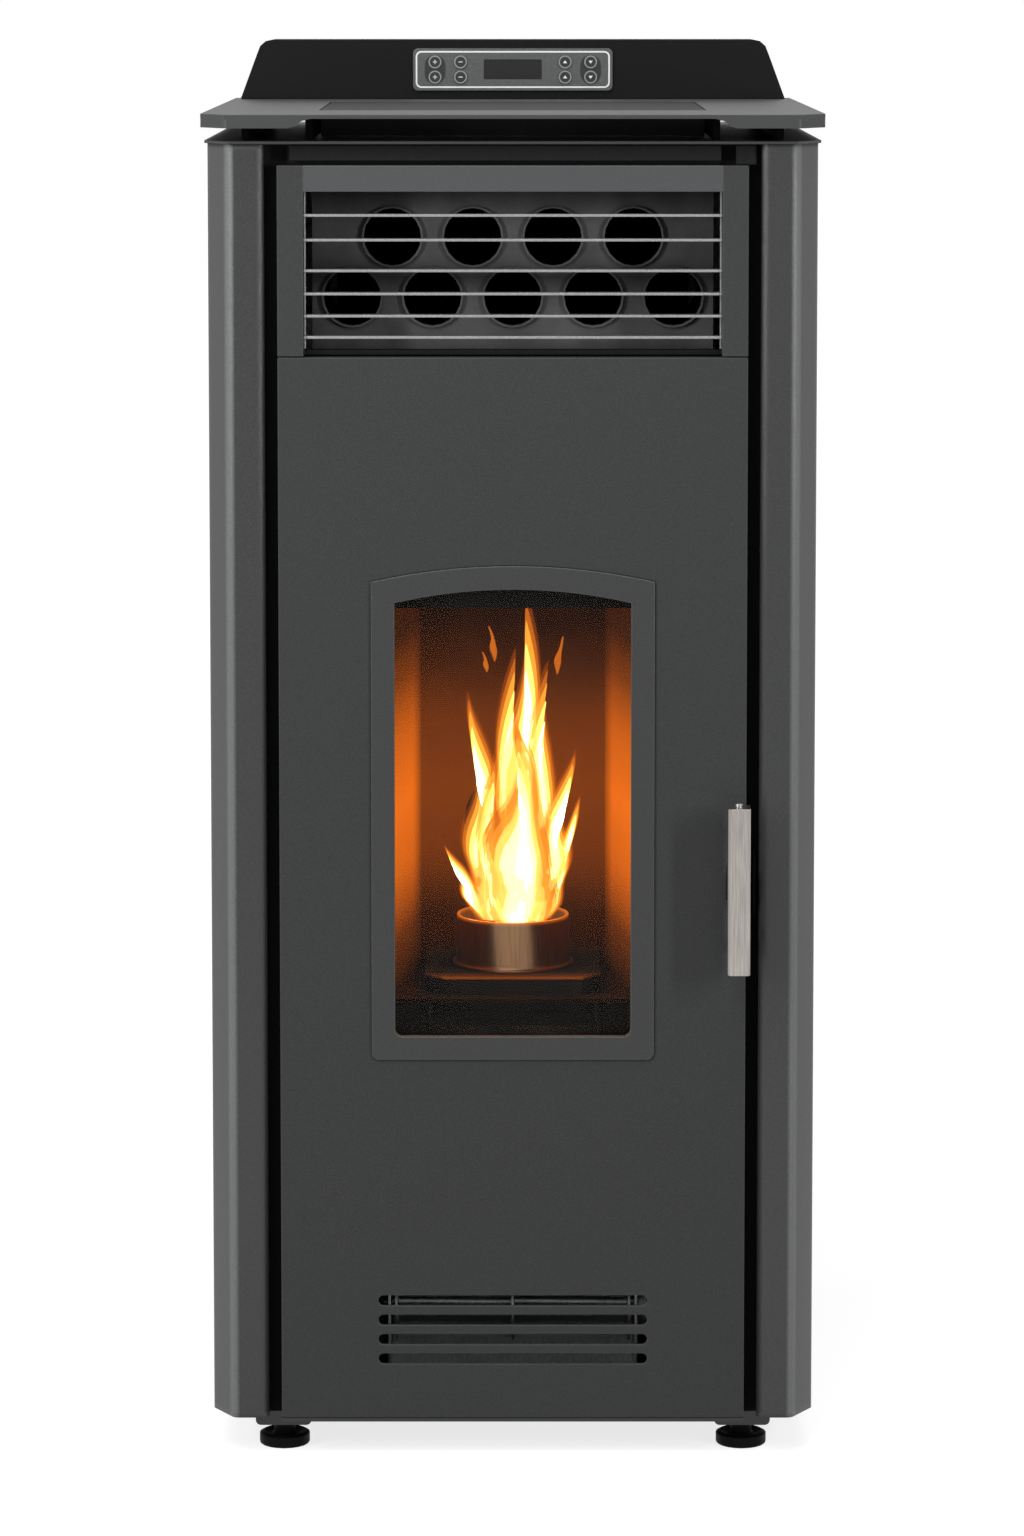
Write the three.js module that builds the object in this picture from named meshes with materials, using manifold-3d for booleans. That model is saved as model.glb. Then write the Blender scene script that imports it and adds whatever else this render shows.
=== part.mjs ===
// Free-standing pellet stove, in millimetres.
// X runs to the right, Y from the front to the back and Z up. Inside the stove group Y = 0 is the
// door's front face; the group is then moved so that the origin lies on the floor, under the middle.
import * as THREE from 'three';
import { mergeVertices } from 'three/addons/utils/BufferGeometryUtils.js';
import Module from 'manifold-3d';

const wasm = await Module();
wasm.setup();

// ---------- driving sizes: whole stove ----------
const SEAT_GAP = 0.3; // left between two pieces that rest on or fasten to each other
const SHEET = 2; // body sheet
const PLATE = 3; // heavier plate: base, slab, door face, firebox
const STEPS = 20; // facets round a pipe or bore
const SMALL_STEPS = 14; // facets round a pin or bolt
const ARCH_STEPS = 10; // facets along the window's arch

const BODY_WIDTH = 451;
const BODY_HALF = BODY_WIDTH / 2;
const BODY_DEPTH = 516; // from the door face to the back of the rear panel
const BASE_HEIGHT = 28.2; // underside of the base plate
const BODY_TOP = 985; // top of the side panels

// ---------- columns: the side panels' bent front corners ----------
const COLUMN_WIDTH = 42.8; // from the body's side to the column's inner edge
const COLUMN_INNER = BODY_HALF - COLUMN_WIDTH;
const COLUMN_FACE = 26; // flat front facet
const COLUMN_CHAMFER_DEPTH = 28;
const COLUMN_FRONT = 1; // behind the door face
const COLUMN_RETURN = 19; // inner edge folded back
const COLUMN_BEND = 6;
const REAR_FLANGE = 14;
const VENT_LEVELS = [560, 590, 620, 650, 680, 710]; // slots in the rear panel
const VENT_HEIGHT = 8;
const VENT_INNER = 40;
const VENT_SIDE = 55.5; // from the slot's outer end to the body's side

// ---------- door ----------
const DOOR_SIDE_GAP = 9.7; // between the door and a column
const DOOR_HALF = COLUMN_INNER - DOOR_SIDE_GAP;
const DOOR_BOTTOM = 32;
const DOOR_TOP = 828.5;
const DOOR_EDGE = 14; // depth of the folded edges
const DOOR_EDGE_SHEET = 2;
const DOOR_CORNER = 1.2;
const OPEN_GAP = 1; // between the door or grille and what is next to it

const WINDOW_HALF = 87.5;
const WINDOW_BOTTOM = 322;
const WINDOW_SHOULDER = 647;
const WINDOW_CROWN = 657;
const WINDOW_CORNER = 5.5;
const WINDOW_BORDER = 17.5; // width of the window frame
const WINDOW_PROUD = 1.5;
const WINDOW_FLANGE = 5; // rim behind the door face
const GLASS_THICK = 4;
const GLASS_LAP = 11; // glass behind the frame
const RETAINER_LAP = 22;
const RETAINER_SHEET = 2;
const SEAL_WIDTH = 8;

const SLOT_COUNT = 4;
const SLOT_HALF = 100.5;
const SLOT_HEIGHT = 8;
const SLOT_PITCH = 14.8;
const SLOT_FIRST = 77; // middle of the lowest slot

const HINGE_INSET = 6;
const HINGE_X = -DOOR_HALF + HINGE_INSET;
const HINGE_Y = 10;
const HINGE_LEVELS = [110, 750];
const HINGE_PIN = 3;
const PIN_CLEARANCE = 0.3;
const HINGE_LEAF = 3;
const KNUCKLE_HEIGHT = 12;

// ---------- door handle and latch ----------
const HANDLE_INSET = 6.5;
const HANDLE_X = DOOR_HALF - HANDLE_INSET;
const HANDLE_WIDTH = 16.5;
const HANDLE_BOTTOM = 375;
const HANDLE_HEIGHT = 124;
const HANDLE_FRONT = -38;
const HANDLE_BACK = -17;
const HANDLE_WALL = 2.5;
const HANDLE_PIN_Y = -23;
const HANDLE_PIN = 3;
const HANDLE_PIN_PROUD = 2; // pin end above the handle's top
const LUG_INSET = 18; // lugs above and below the middle of the handle stand this far from its ends
const LUG_THICK = 4;
const HOOK_HEIGHT = 24;
const HOOK_THICK = 3;
const HOOK_REACH = 14; // tip behind the door face
const HOOK_TOOTH = 5;
const CATCH_SHORT = 2; // between the hook's tip and the catch
const NOTCH_DEPTH = 14.5; // notch for the hook in the door's edge

// ---------- front frame and warm-air grille ----------
const FRAME_FRONT = 20.3;
const RAIL_BOTTOM = 973;
const RAIL_TOP = 984;
const RAIL_LEFT = -DOOR_HALF + 9;
const RAIL_RIGHT = DOOR_HALF - 20;
const RAIL_STOP = 6; // corner block beyond the door's edge
const RAIL_DEPTH = 11;
const GRILLE_TOP = 969.5;
const STILE_WIDTH = 19;
const GRILLE_RAIL = 19;
const GRILLE_RAIL_SET = 0.6; // behind the stiles' faces
const GRILLE_TIE = 4;
const GRILLE_DEPTH = 16;
const GRILLE_SHEET = 2;
const LOUVRE_LEVELS = [843.2, 858.9, 875.2, 892.2, 914.8, 932.9];
const LOUVRE_THICK = 1.8;
const LOUVRE_DEPTH = 12;
const LOUVRE_FRONT = 3; // behind the door face
const LOUVRE_STRIP = 1.2; // end strips that carry the blades
const LOUVRE_STRIP_DEPTH = 6;

// ---------- heat exchanger ----------
const EXCHANGER_FRONT = 70;
const EXCHANGER_BACK = 200;
const EXCHANGER_HALF = DOOR_HALF - 23;
const EXCHANGER_BOTTOM = 800;
const EXCHANGER_TOP = 968;
const TUBE_RADIUS = 21.5;
const TUBE_WALL = 1.5;
const TUBE_SIDE = 7; // between the outermost tube and the exchanger's side
const TUBE_PROUD = 3; // tube end in front of its sheet
const UPPER_TUBES = 4;
const UPPER_TUBE_LEVEL = 914;
const LOWER_TUBES = 5;
const LOWER_TUBE_LEVEL = 869;
const TUBE_PITCH = ((EXCHANGER_HALF - TUBE_RADIUS - TUBE_WALL - TUBE_SIDE) * 2) / (LOWER_TUBES - 1);
const NECK_HALF = 68;
const NECK_INSET = 12; // opening between firebox and exchanger, from their front and back

// ---------- firebox and its fittings ----------
const FIREBOX_FRONT_HALF = 96; // inside, at the front
const FIREBOX_BACK_HALF = 72; // inside, at the back
const FIREBOX_BOTTOM = 297;
const LEDGE_TOP = 338;
const LEDGE_FRONT = 62;
const SHELF_TOP = 352;
const SHELF_FRONT = 75;
const SHELF_FRONT_HALF = 52.6;
const SHELF_HALF = 67;
const SHELF_CHAMFER = 15;
const POT_Y = 135;
const POT_RADIUS = 43;
const POT_FLANGE = 46.5;
const POT_HEIGHT = 38;
const POT_WALL = 2;
const CUP_RADIUS = 35;
const CUP_DEPTH = 8;
const GRATE_SLOT = 3; // air slots in the cup's floor
const GRATE_PITCH = 9;
const GRATE_REACH = 16;
const ASH_HOLE = 28;
const ASH_HALF = 66;
const ASH_TOP = 321;
const ASH_FRONT = 44;
const ASH_CORNER = 14;
const BAFFLE_LEVEL = 643;
const BAFFLE_FRONT = 66;
const LUG_SIZE = 6;
const DEFLECTOR_BOTTOM = 640;
const DEFLECTOR_TOP = 690;
const DEFLECTOR_Y = 26;
const PORT_LEVEL = 452;
const PORT_RADIUS = 38;
const IGNITER_RADIUS = 5;
const IGNITER_COLLAR = 9;
const IGNITER_LENGTH = 70;

// ---------- top slab, lid and console ----------
const TOP_PLATE_PROUD = 2; // top plate beyond the body, at the sides and the front
const SLAB_HALF = BODY_HALF + 4.5;
const SLAB_TOP = 1007;
const SLAB_LIP = 10;
const SLAB_FRONT = -8;
const SLAB_CHAMFER = 18.7;
const LIP_LENGTH = 74; // front lips, from the slab's side
const LIP_END = SLAB_HALF - LIP_LENGTH;
const LIP_CURVE = 8;
const SPACER_INSET = 30.5; // outer leg, from the body's side
const SPACER_SPAN = 47;
const SPACER_OUTER = BODY_HALF - SPACER_INSET;
const SPACER_INNER = SPACER_OUTER - SPACER_SPAN;
const SPACER_LEG = 5;
const LID_HALF = SPACER_INNER - 3;
const LID_FRONT = 125;
const LID_BACK = 387;
const LID_GAP = 1.5;
const LID_BEAD = 3;
const LID_PIN = 1.5;
const LID_NOTCH = 14;
const CONSOLE_HEIGHT = 48.5;
const CONSOLE_DEPTH = 42;
const CONSOLE_BASE_HALF = SLAB_HALF - 6;
const CONSOLE_TOP_HALF = SLAB_HALF - 21;
const CONSOLE_CORNER = 12;
const PANEL_HALF = 82;
const PANEL_HEIGHT = 34.6;
const PANEL_MIDDLE = 24;
const PANEL_CORNER = 4;
const PANEL_THICK = 2.4;
const DISPLAY_HALF = 23.5;
const DISPLAY_HEIGHT = 15.7;
const BUTTON_COLUMNS = [-64, -43, 43, 64];
const BUTTON_ROW = 6.2; // rows above and below the panel's middle
const BUTTON_RADIUS = 5.2;
const BUTTON_PROUD = 1.2;
const BUTTON_TRAVEL = 0.8;
const BUTTON_SHOULDER = 0.7; // rim behind the panel, wider than the button
const BUTTON_SHOULDER_THICK = 1.2;
const BOARD_THICK = 1.6;
const BOARD_HALF_HEIGHT = 13;
const BOARD_INSET = 4; // from the panel's ends
const BOARD_POST = 4;
const BOARD_FRONT = 8; // behind the console's face

// ---------- feet ----------
const FOOT_X = BODY_HALF - 52.5;
const FOOT_FRONT = 46;
const FOOT_REAR = BODY_DEPTH - FOOT_FRONT;
const FOOT_DISC = 19;
const FOOT_DISC_THICK = 9.5;
const FOOT_STEM = 8;
const FOOT_STEM_TOP = 62;
const BRACKET_HALF = 21;
const BRACKET_BOTTOM = 19;

// ---------- feed: hopper, auger, motor ----------
const HOPPER_HALF = LID_HALF - 9;
const HOPPER_FRONT = 208;
const HOPPER_BACK = BODY_DEPTH - 18;
const HOPPER_BEND = 720; // where the sloped bottom starts
const MOUTH_INSET = 4;
const THROAT_HALF = 22;
const THROAT_SETBACK = 55; // throat's middle, in front of the auger's lower end
const THROAT_RISE = 62; // throat's foot, above the auger's axis
const THROAT_NECK = 14; // straight stretch below the slopes
const AUGER_Y = BODY_DEPTH - 91; // lower end of the auger's axis
const AUGER_Z = 425;
const AUGER_TILT = 36; // degrees above level, rising to the front
const AUGER_TOP_GAP = 37.3; // from the upper end of the axis to the firebox
const DROP_TILT = 30; // drop tube, from upright
const AUGER_RADIUS = 30;
const SCREW_RADIUS = 26;
const SCREW_CORE = 8;
const SCREW_PITCH = 42;
const SCREW_STEPS = 10; // per turn
const FLIGHT_THICK = 4;
const MOTOR_SIZE = 56;
const MOTOR_LENGTH = 44;
const MOTOR_SOCKET = 16;

// ---------- fans and air ----------
const EXHAUST_WIDTH = 50;
const EXHAUST_X = -EXCHANGER_HALF + EXHAUST_WIDTH / 2; // its side is in line with the exchanger's
const EXHAUST_Y = 235;
const EXHAUST_Z = 150;
const EXHAUST_RADIUS = 75;
const IMPELLER_RADIUS = 60;
const IMPELLER_WIDTH = 30;
const IMPELLER_SHIFT = 16; // back plate, from the housing's middle
const IMPELLER_HUB = 12;
const IMPELLER_EYE = 16; // inner ends of the blades
const IMPELLER_SHAFT = 30;
const FAN_EYE = 26; // hole between duct and housing
const FAN_FOOT = 20;
const FAN_BEARING = 24; // depth of the shaft's bore in the motor
const BLADE_THICK = 2;
const BLADE_COUNT = 8;
const ROLLER_BLADES = 8;
const SHAFT_RADIUS = 4;
const MOTOR_RADIUS = 32;
const FAN_MOTOR_LENGTH = 50;
const FLUE_RADIUS = 40;
const FLUE_WALL = 1.5;
const FLUE_END = BODY_DEPTH + 46;
const FLUE_START = 330;
const DUCT_WIDTH = 52;
const DUCT_INSET = 8; // opening, from the exchanger's bottom and back
const DUCT_MOUTH = 36; // side of the opening between exchanger and duct
const ROOM_FAN_HALF = 95;
const ROOM_FAN_Y = 112;
const ROOM_FAN_Z = 92;
const ROLLER_RADIUS = 30;
const ROLLER_ROOM = 5; // round the roller
const ROLLER_BLADE = 8;
const ROLLER_SHAFT_END = 16; // beyond the housing, into the motor
const TROUGH_SILL = 12;
const INTAKE_X = 45;
const INTAKE_Z = 318;
const INTAKE_RADIUS = 25;
const INTAKE_END = BODY_DEPTH + 30;

// ---------- mains inlet and switch ----------
const INLET_X = BODY_HALF - 75.5;
const INLET_Z = 90;
const INLET_HALF = 24;
const INLET_HEIGHT = 28;
const INLET_DEPTH = 28;
const INLET_FLANGE = 3;
const INLET_SOCKET_DEPTH = 14;
const INLET_PINS = [-15, -10, -5];
const ROCKER_X = 13; // from the inlet's middle
const ROCKER_HALF = 7;
const ROCKER_WELL = 10;
const ROCKER_TILT = 10; // degrees, each way from level; off at rest

// ---------- sizes that follow ----------
const BASE_TOP = BASE_HEIGHT + PLATE;
const PANEL_BOTTOM = BASE_TOP + SEAT_GAP;
const REAR_INNER = BODY_DEPTH - SHEET;
const FRAME_BACK = FRAME_FRONT + SHEET;
const TOP_PLATE_Z = BODY_TOP + SEAT_GAP;
const TOP_PLATE_TOP = TOP_PLATE_Z + SHEET;
const SLAB_UNDER = SLAB_TOP - PLATE;
const GRILLE_BOTTOM = DOOR_TOP + OPEN_GAP;
const GRILLE_OPEN_HALF = DOOR_HALF - STILE_WIDTH;
const HANDLE_TOP = HANDLE_BOTTOM + HANDLE_HEIGHT;
const HANDLE_MIDDLE = HANDLE_BOTTOM + HANDLE_HEIGHT / 2;
const CONSOLE_FRONT = BODY_DEPTH - CONSOLE_DEPTH;
const FIREBOX_FRONT = FRAME_BACK + SEAT_GAP;
const FIREBOX_TOP = EXCHANGER_BOTTOM - SEAT_GAP;
const FIREBOX_BACK = EXCHANGER_BACK;
const FLUE_LEVEL = EXHAUST_Z + EXHAUST_RADIUS - FLUE_RADIUS;
const LID_REAR_EDGE = LID_BACK + LID_BEAD + LID_GAP;
const MOUTH_BACK = LID_BACK - LID_BEAD * 3;
const IGNITER_Z = LEDGE_TOP + (SHELF_TOP - PLATE - LEDGE_TOP) / 2;
const AUGER_ANGLE = (AUGER_TILT * Math.PI) / 180;
const AUGER_LENGTH = (AUGER_Y - FIREBOX_BACK - AUGER_TOP_GAP) / Math.cos(AUGER_ANGLE);
const DROP_ANGLE = (DROP_TILT * Math.PI) / 180;
const DROP_RISE = (AUGER_Y - FIREBOX_BACK) * Math.tan(AUGER_ANGLE) + AUGER_Z - PORT_LEVEL;
const DROP_LENGTH = DROP_RISE / (Math.cos(DROP_ANGLE) + Math.sin(DROP_ANGLE) * Math.tan(AUGER_ANGLE));
const THROAT_Y = AUGER_Y - THROAT_SETBACK;
const THROAT_AXIS = AUGER_Z + THROAT_SETBACK * Math.tan(AUGER_ANGLE);
const THROAT_BOTTOM = THROAT_AXIS + THROAT_RISE;
const THROAT_BEND = THROAT_BOTTOM + THROAT_NECK;
const BUTTON_LENGTH = BOARD_FRONT - BUTTON_TRAVEL - SEAT_GAP;
const DUCT_MOUTH_Z = EXCHANGER_BOTTOM + DUCT_INSET;
const CATCH_NOTCH = DOOR_HALF - NOTCH_DEPTH;
const DUCT_INNER = EXHAUST_X - EXHAUST_WIDTH / 2 - SEAT_GAP;

// ---------- solids ----------
function solidOf(geometry) {
  geometry.deleteAttribute('normal');
  geometry.deleteAttribute('uv');
  const merged = mergeVertices(geometry, 1e-4);
  const vertProperties = new Float32Array(merged.attributes.position.array);
  const triVerts = new Uint32Array(merged.index.array);
  return new wasm.Manifold(new wasm.Mesh({ numProp: 3, vertProperties, triVerts }));
}

function geometryOf(solid) {
  const mesh = solid.getMesh();
  const geometry = new THREE.BufferGeometry();
  geometry.setAttribute('position', new THREE.BufferAttribute(new Float32Array(mesh.vertProperties), 3));
  geometry.setIndex(new THREE.BufferAttribute(new Uint32Array(mesh.triVerts), 1));
  geometry.computeVertexNormals();
  return geometry;
}

function join(first, ...others) {
  return others.reduce((sum, other) => sum.add(other), first);
}

function cut(first, ...others) {
  return others.reduce((rest, other) => rest.subtract(other), first);
}

// A box between two limits along each axis.
function block(xs, ys, zs) {
  const geometry = new THREE.BoxGeometry(xs[1] - xs[0], ys[1] - ys[0], zs[1] - zs[0]);
  geometry.translate((xs[0] + xs[1]) / 2, (ys[0] + ys[1]) / 2, (zs[0] + zs[1]) / 2);
  return solidOf(geometry);
}

// Two distances from the middle as limits along X on one side, -1 or 1.
function onSide(side, near, far) {
  return side > 0 ? [near, far] : [-far, -near];
}

// Directions that an outline's first axis, second axis and thickness take.
const X = new THREE.Vector3(1, 0, 0);
const Y = new THREE.Vector3(0, 1, 0);
const Z = new THREE.Vector3(0, 0, 1);
const ALONG = {
  x: new THREE.Matrix4().makeBasis(Y, Z, X), // outline in (y, z)
  y: new THREE.Matrix4().makeBasis(X, Z, Y.clone().negate()), // outline in (x, z), towards the front
  z: new THREE.Matrix4(), // outline in (x, y)
};

// An outline given thickness between two places on an axis.
function extrude(shape, axis, from, to, curveSegments = 3) {
  const options = { depth: to - from, bevelEnabled: false, curveSegments };
  const geometry = new THREE.ExtrudeGeometry(shape, options);
  geometry.applyMatrix4(ALONG[axis]);
  const start = axis === 'y' ? -to : from;
  const shift = new THREE.Vector3(0, 0, start).applyMatrix4(ALONG[axis]);
  geometry.translate(shift.x, shift.y, shift.z);
  return solidOf(geometry);
}

function outline(points) {
  return new THREE.Shape(points.map(([a, b]) => new THREE.Vector2(a, b)));
}

// A rectangle with one corner radius, as an outline.
function roundedRect(x0, x1, y0, y1, radius) {
  const shape = new THREE.Shape();
  shape.moveTo(x0 + radius, y0);
  shape.lineTo(x1 - radius, y0);
  shape.absarc(x1 - radius, y0 + radius, radius, -Math.PI / 2, 0, false);
  shape.lineTo(x1, y1 - radius);
  shape.absarc(x1 - radius, y1 - radius, radius, 0, Math.PI / 2, false);
  shape.lineTo(x0 + radius, y1);
  shape.absarc(x0 + radius, y1 - radius, radius, Math.PI / 2, Math.PI, false);
  shape.lineTo(x0, y0 + radius);
  shape.absarc(x0 + radius, y0 + radius, radius, Math.PI, Math.PI * 1.5, false);
  return shape;
}

// A round bar about an axis, through a point given in the two other axes' order.
function rod(radius, axis, from, to, centre = [0, 0], steps = STEPS) {
  const geometry = new THREE.CylinderGeometry(radius, radius, to - from, steps);
  geometry.rotateX(Math.PI / 2);
  geometry.translate(0, 0, (from + to) / 2);
  if (axis === 'x') geometry.applyMatrix4(ALONG.x);
  if (axis === 'y') geometry.rotateX(-Math.PI / 2);
  const [a, b] = centre;
  if (axis === 'x') geometry.translate(0, a, b);
  if (axis === 'y') geometry.translate(a, 0, b);
  if (axis === 'z') geometry.translate(a, b, 0);
  return solidOf(geometry);
}

function pipe(outer, inner, axis, from, to, centre = [0, 0], steps = STEPS) {
  return cut(rod(outer, axis, from, to, centre, steps), rod(inner, axis, from - 1, to + 1, centre, steps));
}

// A turned piece about Z from [radius, height] points that start and end on the axis.
function turned(profile, steps = STEPS) {
  const points = profile.map(([radius, height]) => new THREE.Vector2(radius, height));
  const geometry = new THREE.LatheGeometry(points, steps);
  geometry.rotateX(Math.PI / 2);
  return solidOf(geometry);
}

// Sheet metal folded along a path in (x, y): outer face on the path, bends of one radius.
function foldedSheet(path, thickness, bend, steps = 4) {
  const corners = path.map(([x, y]) => new THREE.Vector2(x, y));
  const outer = [];
  const inner = [];
  corners.forEach((corner, index) => {
    const before = index > 0 ? corner.clone().sub(corners[index - 1]).normalize() : null;
    const after = index < corners.length - 1 ? corners[index + 1].clone().sub(corner).normalize() : null;
    const ahead = after ?? before;
    const inward = new THREE.Vector2(-ahead.y, ahead.x);
    if (!before || !after) {
      outer.push(corner.clone());
      inner.push(corner.clone().addScaledVector(inward, thickness));
      return;
    }
    const turn = Math.atan2(before.cross(after), before.dot(after));
    const centre = corner
      .clone()
      .addScaledVector(before, -bend * Math.tan(turn / 2))
      .addScaledVector(new THREE.Vector2(-before.y, before.x), bend);
    for (let step = 0; step <= steps; step += 1) {
      const angle = Math.atan2(before.y, before.x) - Math.PI / 2 + (turn * step) / steps;
      const ray = new THREE.Vector2(Math.cos(angle), Math.sin(angle));
      outer.push(centre.clone().addScaledVector(ray, bend));
      inner.push(centre.clone().addScaledVector(ray, bend - thickness));
    }
  });
  return new THREE.Shape([...outer, ...inner.reverse()]);
}

function mirroredX(solid) {
  return solid.mirror([1, 0, 0]);
}

// ---------- finishes ----------
function finish(colour, roughness, metalness) {
  return () => new THREE.MeshStandardMaterial({ color: colour, roughness, metalness });
}
const greyPaint = finish(0x47494a, 0.55, 0.4);
const blackPaint = finish(0x1c1c1d, 0.6, 0.3);
const darkSteel = finish(0x2c2b2a, 0.6, 0.6);
const firebrown = finish(0x3a2c22, 0.8, 0.3);
const brushedSteel = finish(0xa59b94, 0.35, 0.9);
const zincSteel = finish(0x9a9c9e, 0.45, 0.8);
const blackPlastic = finish(0x151515, 0.5, 0);
const greyPlastic = finish(0x5f6162, 0.5, 0.1);
const clearGlass = finish(0x3a3632, 0.05, 0);
const rope = finish(0x55524d, 0.95, 0);
const boardGreen = finish(0x24502f, 0.6, 0.1);

function piece(name, solid, material, place = [0, 0, 0]) {
  const mesh = new THREE.Mesh(geometryOf(solid), material());
  mesh.name = name;
  mesh.position.set(...place);
  return mesh;
}

function group(...members) {
  const set = new THREE.Group();
  set.add(...members);
  return set;
}

// ---------- body shell ----------
const SIDE_PATH = [
  [COLUMN_INNER, COLUMN_FRONT + COLUMN_RETURN],
  [COLUMN_INNER, COLUMN_FRONT],
  [COLUMN_INNER + COLUMN_FACE, COLUMN_FRONT],
  [BODY_HALF, COLUMN_FRONT + COLUMN_CHAMFER_DEPTH],
  [BODY_HALF, REAR_INNER - SEAT_GAP],
  [BODY_HALF - REAR_FLANGE, REAR_INNER - SEAT_GAP],
];

// Plan outline of the body, grown or shrunk all round, with chamfered front corners.
function bodyPlan(grow, front, back) {
  const half = BODY_HALF + grow;
  const bend = COLUMN_INNER + COLUMN_FACE;
  const chamfer = front + COLUMN_CHAMFER_DEPTH;
  return outline([
    [-bend, front],
    [bend, front],
    [half, chamfer],
    [half, back],
    [-half, back],
    [-half, chamfer],
  ]);
}

function sidePanel() {
  return extrude(foldedSheet(SIDE_PATH, SHEET, COLUMN_BEND), 'z', PANEL_BOTTOM, BODY_TOP);
}

// Base plate with a nut block welded under each corner for the levelling feet.
function basePlate() {
  const plan = bodyPlan(-1, FRAME_FRONT, REAR_INNER - SEAT_GAP);
  const sill = block([-DOOR_HALF, DOOR_HALF], [DOOR_EDGE_SHEET, FRAME_FRONT + 1], [BASE_HEIGHT, BASE_TOP]);
  const plate = join(extrude(plan, 'z', BASE_HEIGHT, BASE_TOP), sill);
  const blocks = footPlaces().map(([x, y]) => footBracket(x, y));
  const bore = FOOT_STEM + PIN_CLEARANCE;
  const bores = footPlaces().map((place) => rod(bore, 'z', 0, BASE_TOP + 1, place, SMALL_STEPS));
  return cut(join(plate, ...blocks), ...bores);
}

function footPlaces() {
  const columns = [-FOOT_X, FOOT_X];
  return [FOOT_FRONT, FOOT_REAR].flatMap((y) => columns.map((x) => [x, y]));
}

function footBracket(x, y) {
  const shape = roundedRect(x - BRACKET_HALF, x + BRACKET_HALF, BRACKET_BOTTOM, BASE_TOP - 1, 4);
  return extrude(shape, 'y', y - BRACKET_HALF, y + BRACKET_HALF);
}

// Levelling foot: a round pad under a threaded stem, dished round the stem.
function levellingFoot() {
  const rim = FOOT_DISC - 3;
  const hub = FOOT_STEM + 2;
  return turned([
    [0, 0],
    [FOOT_DISC - 1, 0],
    [FOOT_DISC, 1],
    [FOOT_DISC, FOOT_DISC_THICK - 1.5],
    [rim, FOOT_DISC_THICK],
    [hub, FOOT_DISC_THICK - 2],
    [FOOT_STEM, FOOT_DISC_THICK],
    [FOOT_STEM, FOOT_STEM_TOP - 1],
    [FOOT_STEM - 1, FOOT_STEM_TOP],
    [0, FOOT_STEM_TOP],
  ]);
}

// Rear panel with the flue, air, mains and room-air openings.
function rearPanel() {
  const sheet = block([-BODY_HALF, BODY_HALF], [REAR_INNER, BODY_DEPTH], [PANEL_BOTTOM, BODY_TOP]);
  const through = [REAR_INNER - 1, BODY_DEPTH + 1];
  const flue = rod(FLUE_RADIUS + SEAT_GAP * 2, 'y', ...through, [EXHAUST_X, FLUE_LEVEL]);
  const intake = rod(INTAKE_RADIUS + SEAT_GAP * 2, 'y', ...through, [INTAKE_X, INTAKE_Z]);
  const mains = block(
    [INLET_X - INLET_HALF - SEAT_GAP, INLET_X + INLET_HALF + SEAT_GAP],
    through,
    [INLET_Z - INLET_HEIGHT / 2 - SEAT_GAP, INLET_Z + INLET_HEIGHT / 2 + SEAT_GAP],
  );
  return cut(sheet, flue, intake, mains, ...rearVents(through));
}

// Rows of long slots that let room air in behind the hopper and above the base.
function rearVents(through) {
  const half = VENT_HEIGHT / 2;
  return VENT_LEVELS.flatMap((level) =>
    [-1, 1].map((side) => {
      const xs = onSide(side, VENT_INNER, BODY_HALF - VENT_SIDE);
      return extrude(roundedRect(...xs, level - half, level + half, half - 0.1), 'y', ...through, 1);
    }),
  );
}

// Thin plate over the whole body, with the hopper's mouth in it.
function bodyTopPlate() {
  const plan = bodyPlan(TOP_PLATE_PROUD, COLUMN_FRONT - TOP_PLATE_PROUD, BODY_DEPTH);
  const mouth = block(
    [-HOPPER_HALF + MOUTH_INSET, HOPPER_HALF - MOUTH_INSET],
    [HOPPER_FRONT + MOUTH_INSET, MOUTH_BACK],
    [TOP_PLATE_Z - 1, TOP_PLATE_TOP + 1],
  );
  return cut(extrude(plan, 'z', TOP_PLATE_Z, TOP_PLATE_TOP), mouth);
}

// Upright frame behind the door and the grille, with an opening for each.
function frontFrame() {
  const half = BODY_HALF - SHEET - COLUMN_FACE / 2;
  const ys = [FRAME_FRONT, FRAME_BACK];
  const cuts = [FRAME_FRONT - 1, FRAME_BACK + 1];
  const sheet = block([-half, half], ys, [PANEL_BOTTOM, BODY_TOP - SEAT_GAP]);
  const slotsTop = SLOT_FIRST + SLOT_PITCH * SLOT_COUNT;
  const warmAir = block([-GRILLE_OPEN_HALF, GRILLE_OPEN_HALF], cuts, [GRILLE_BOTTOM + 4, GRILLE_TOP - 2]);
  const fire = block([-FIREBOX_FRONT_HALF, FIREBOX_FRONT_HALF], cuts, [FIREBOX_BOTTOM + PLATE, DEFLECTOR_TOP]);
  const roomAir = block([-SLOT_HALF, SLOT_HALF], cuts, [SLOT_FIRST - SLOT_PITCH, slotsTop]);
  const railFront = FRAME_FRONT - RAIL_DEPTH;
  const railYs = [railFront, FRAME_FRONT + 1];
  const rail = block([RAIL_LEFT, RAIL_RIGHT], railYs, [RAIL_BOTTOM, RAIL_TOP]);
  const corner = block([RAIL_RIGHT + RAIL_DEPTH, DOOR_HALF + RAIL_STOP], railYs, [RAIL_BOTTOM - 3, RAIL_TOP]);
  return join(cut(sheet, warmAir, fire, roomAir), rail, corner, catchPlate());
}

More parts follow.
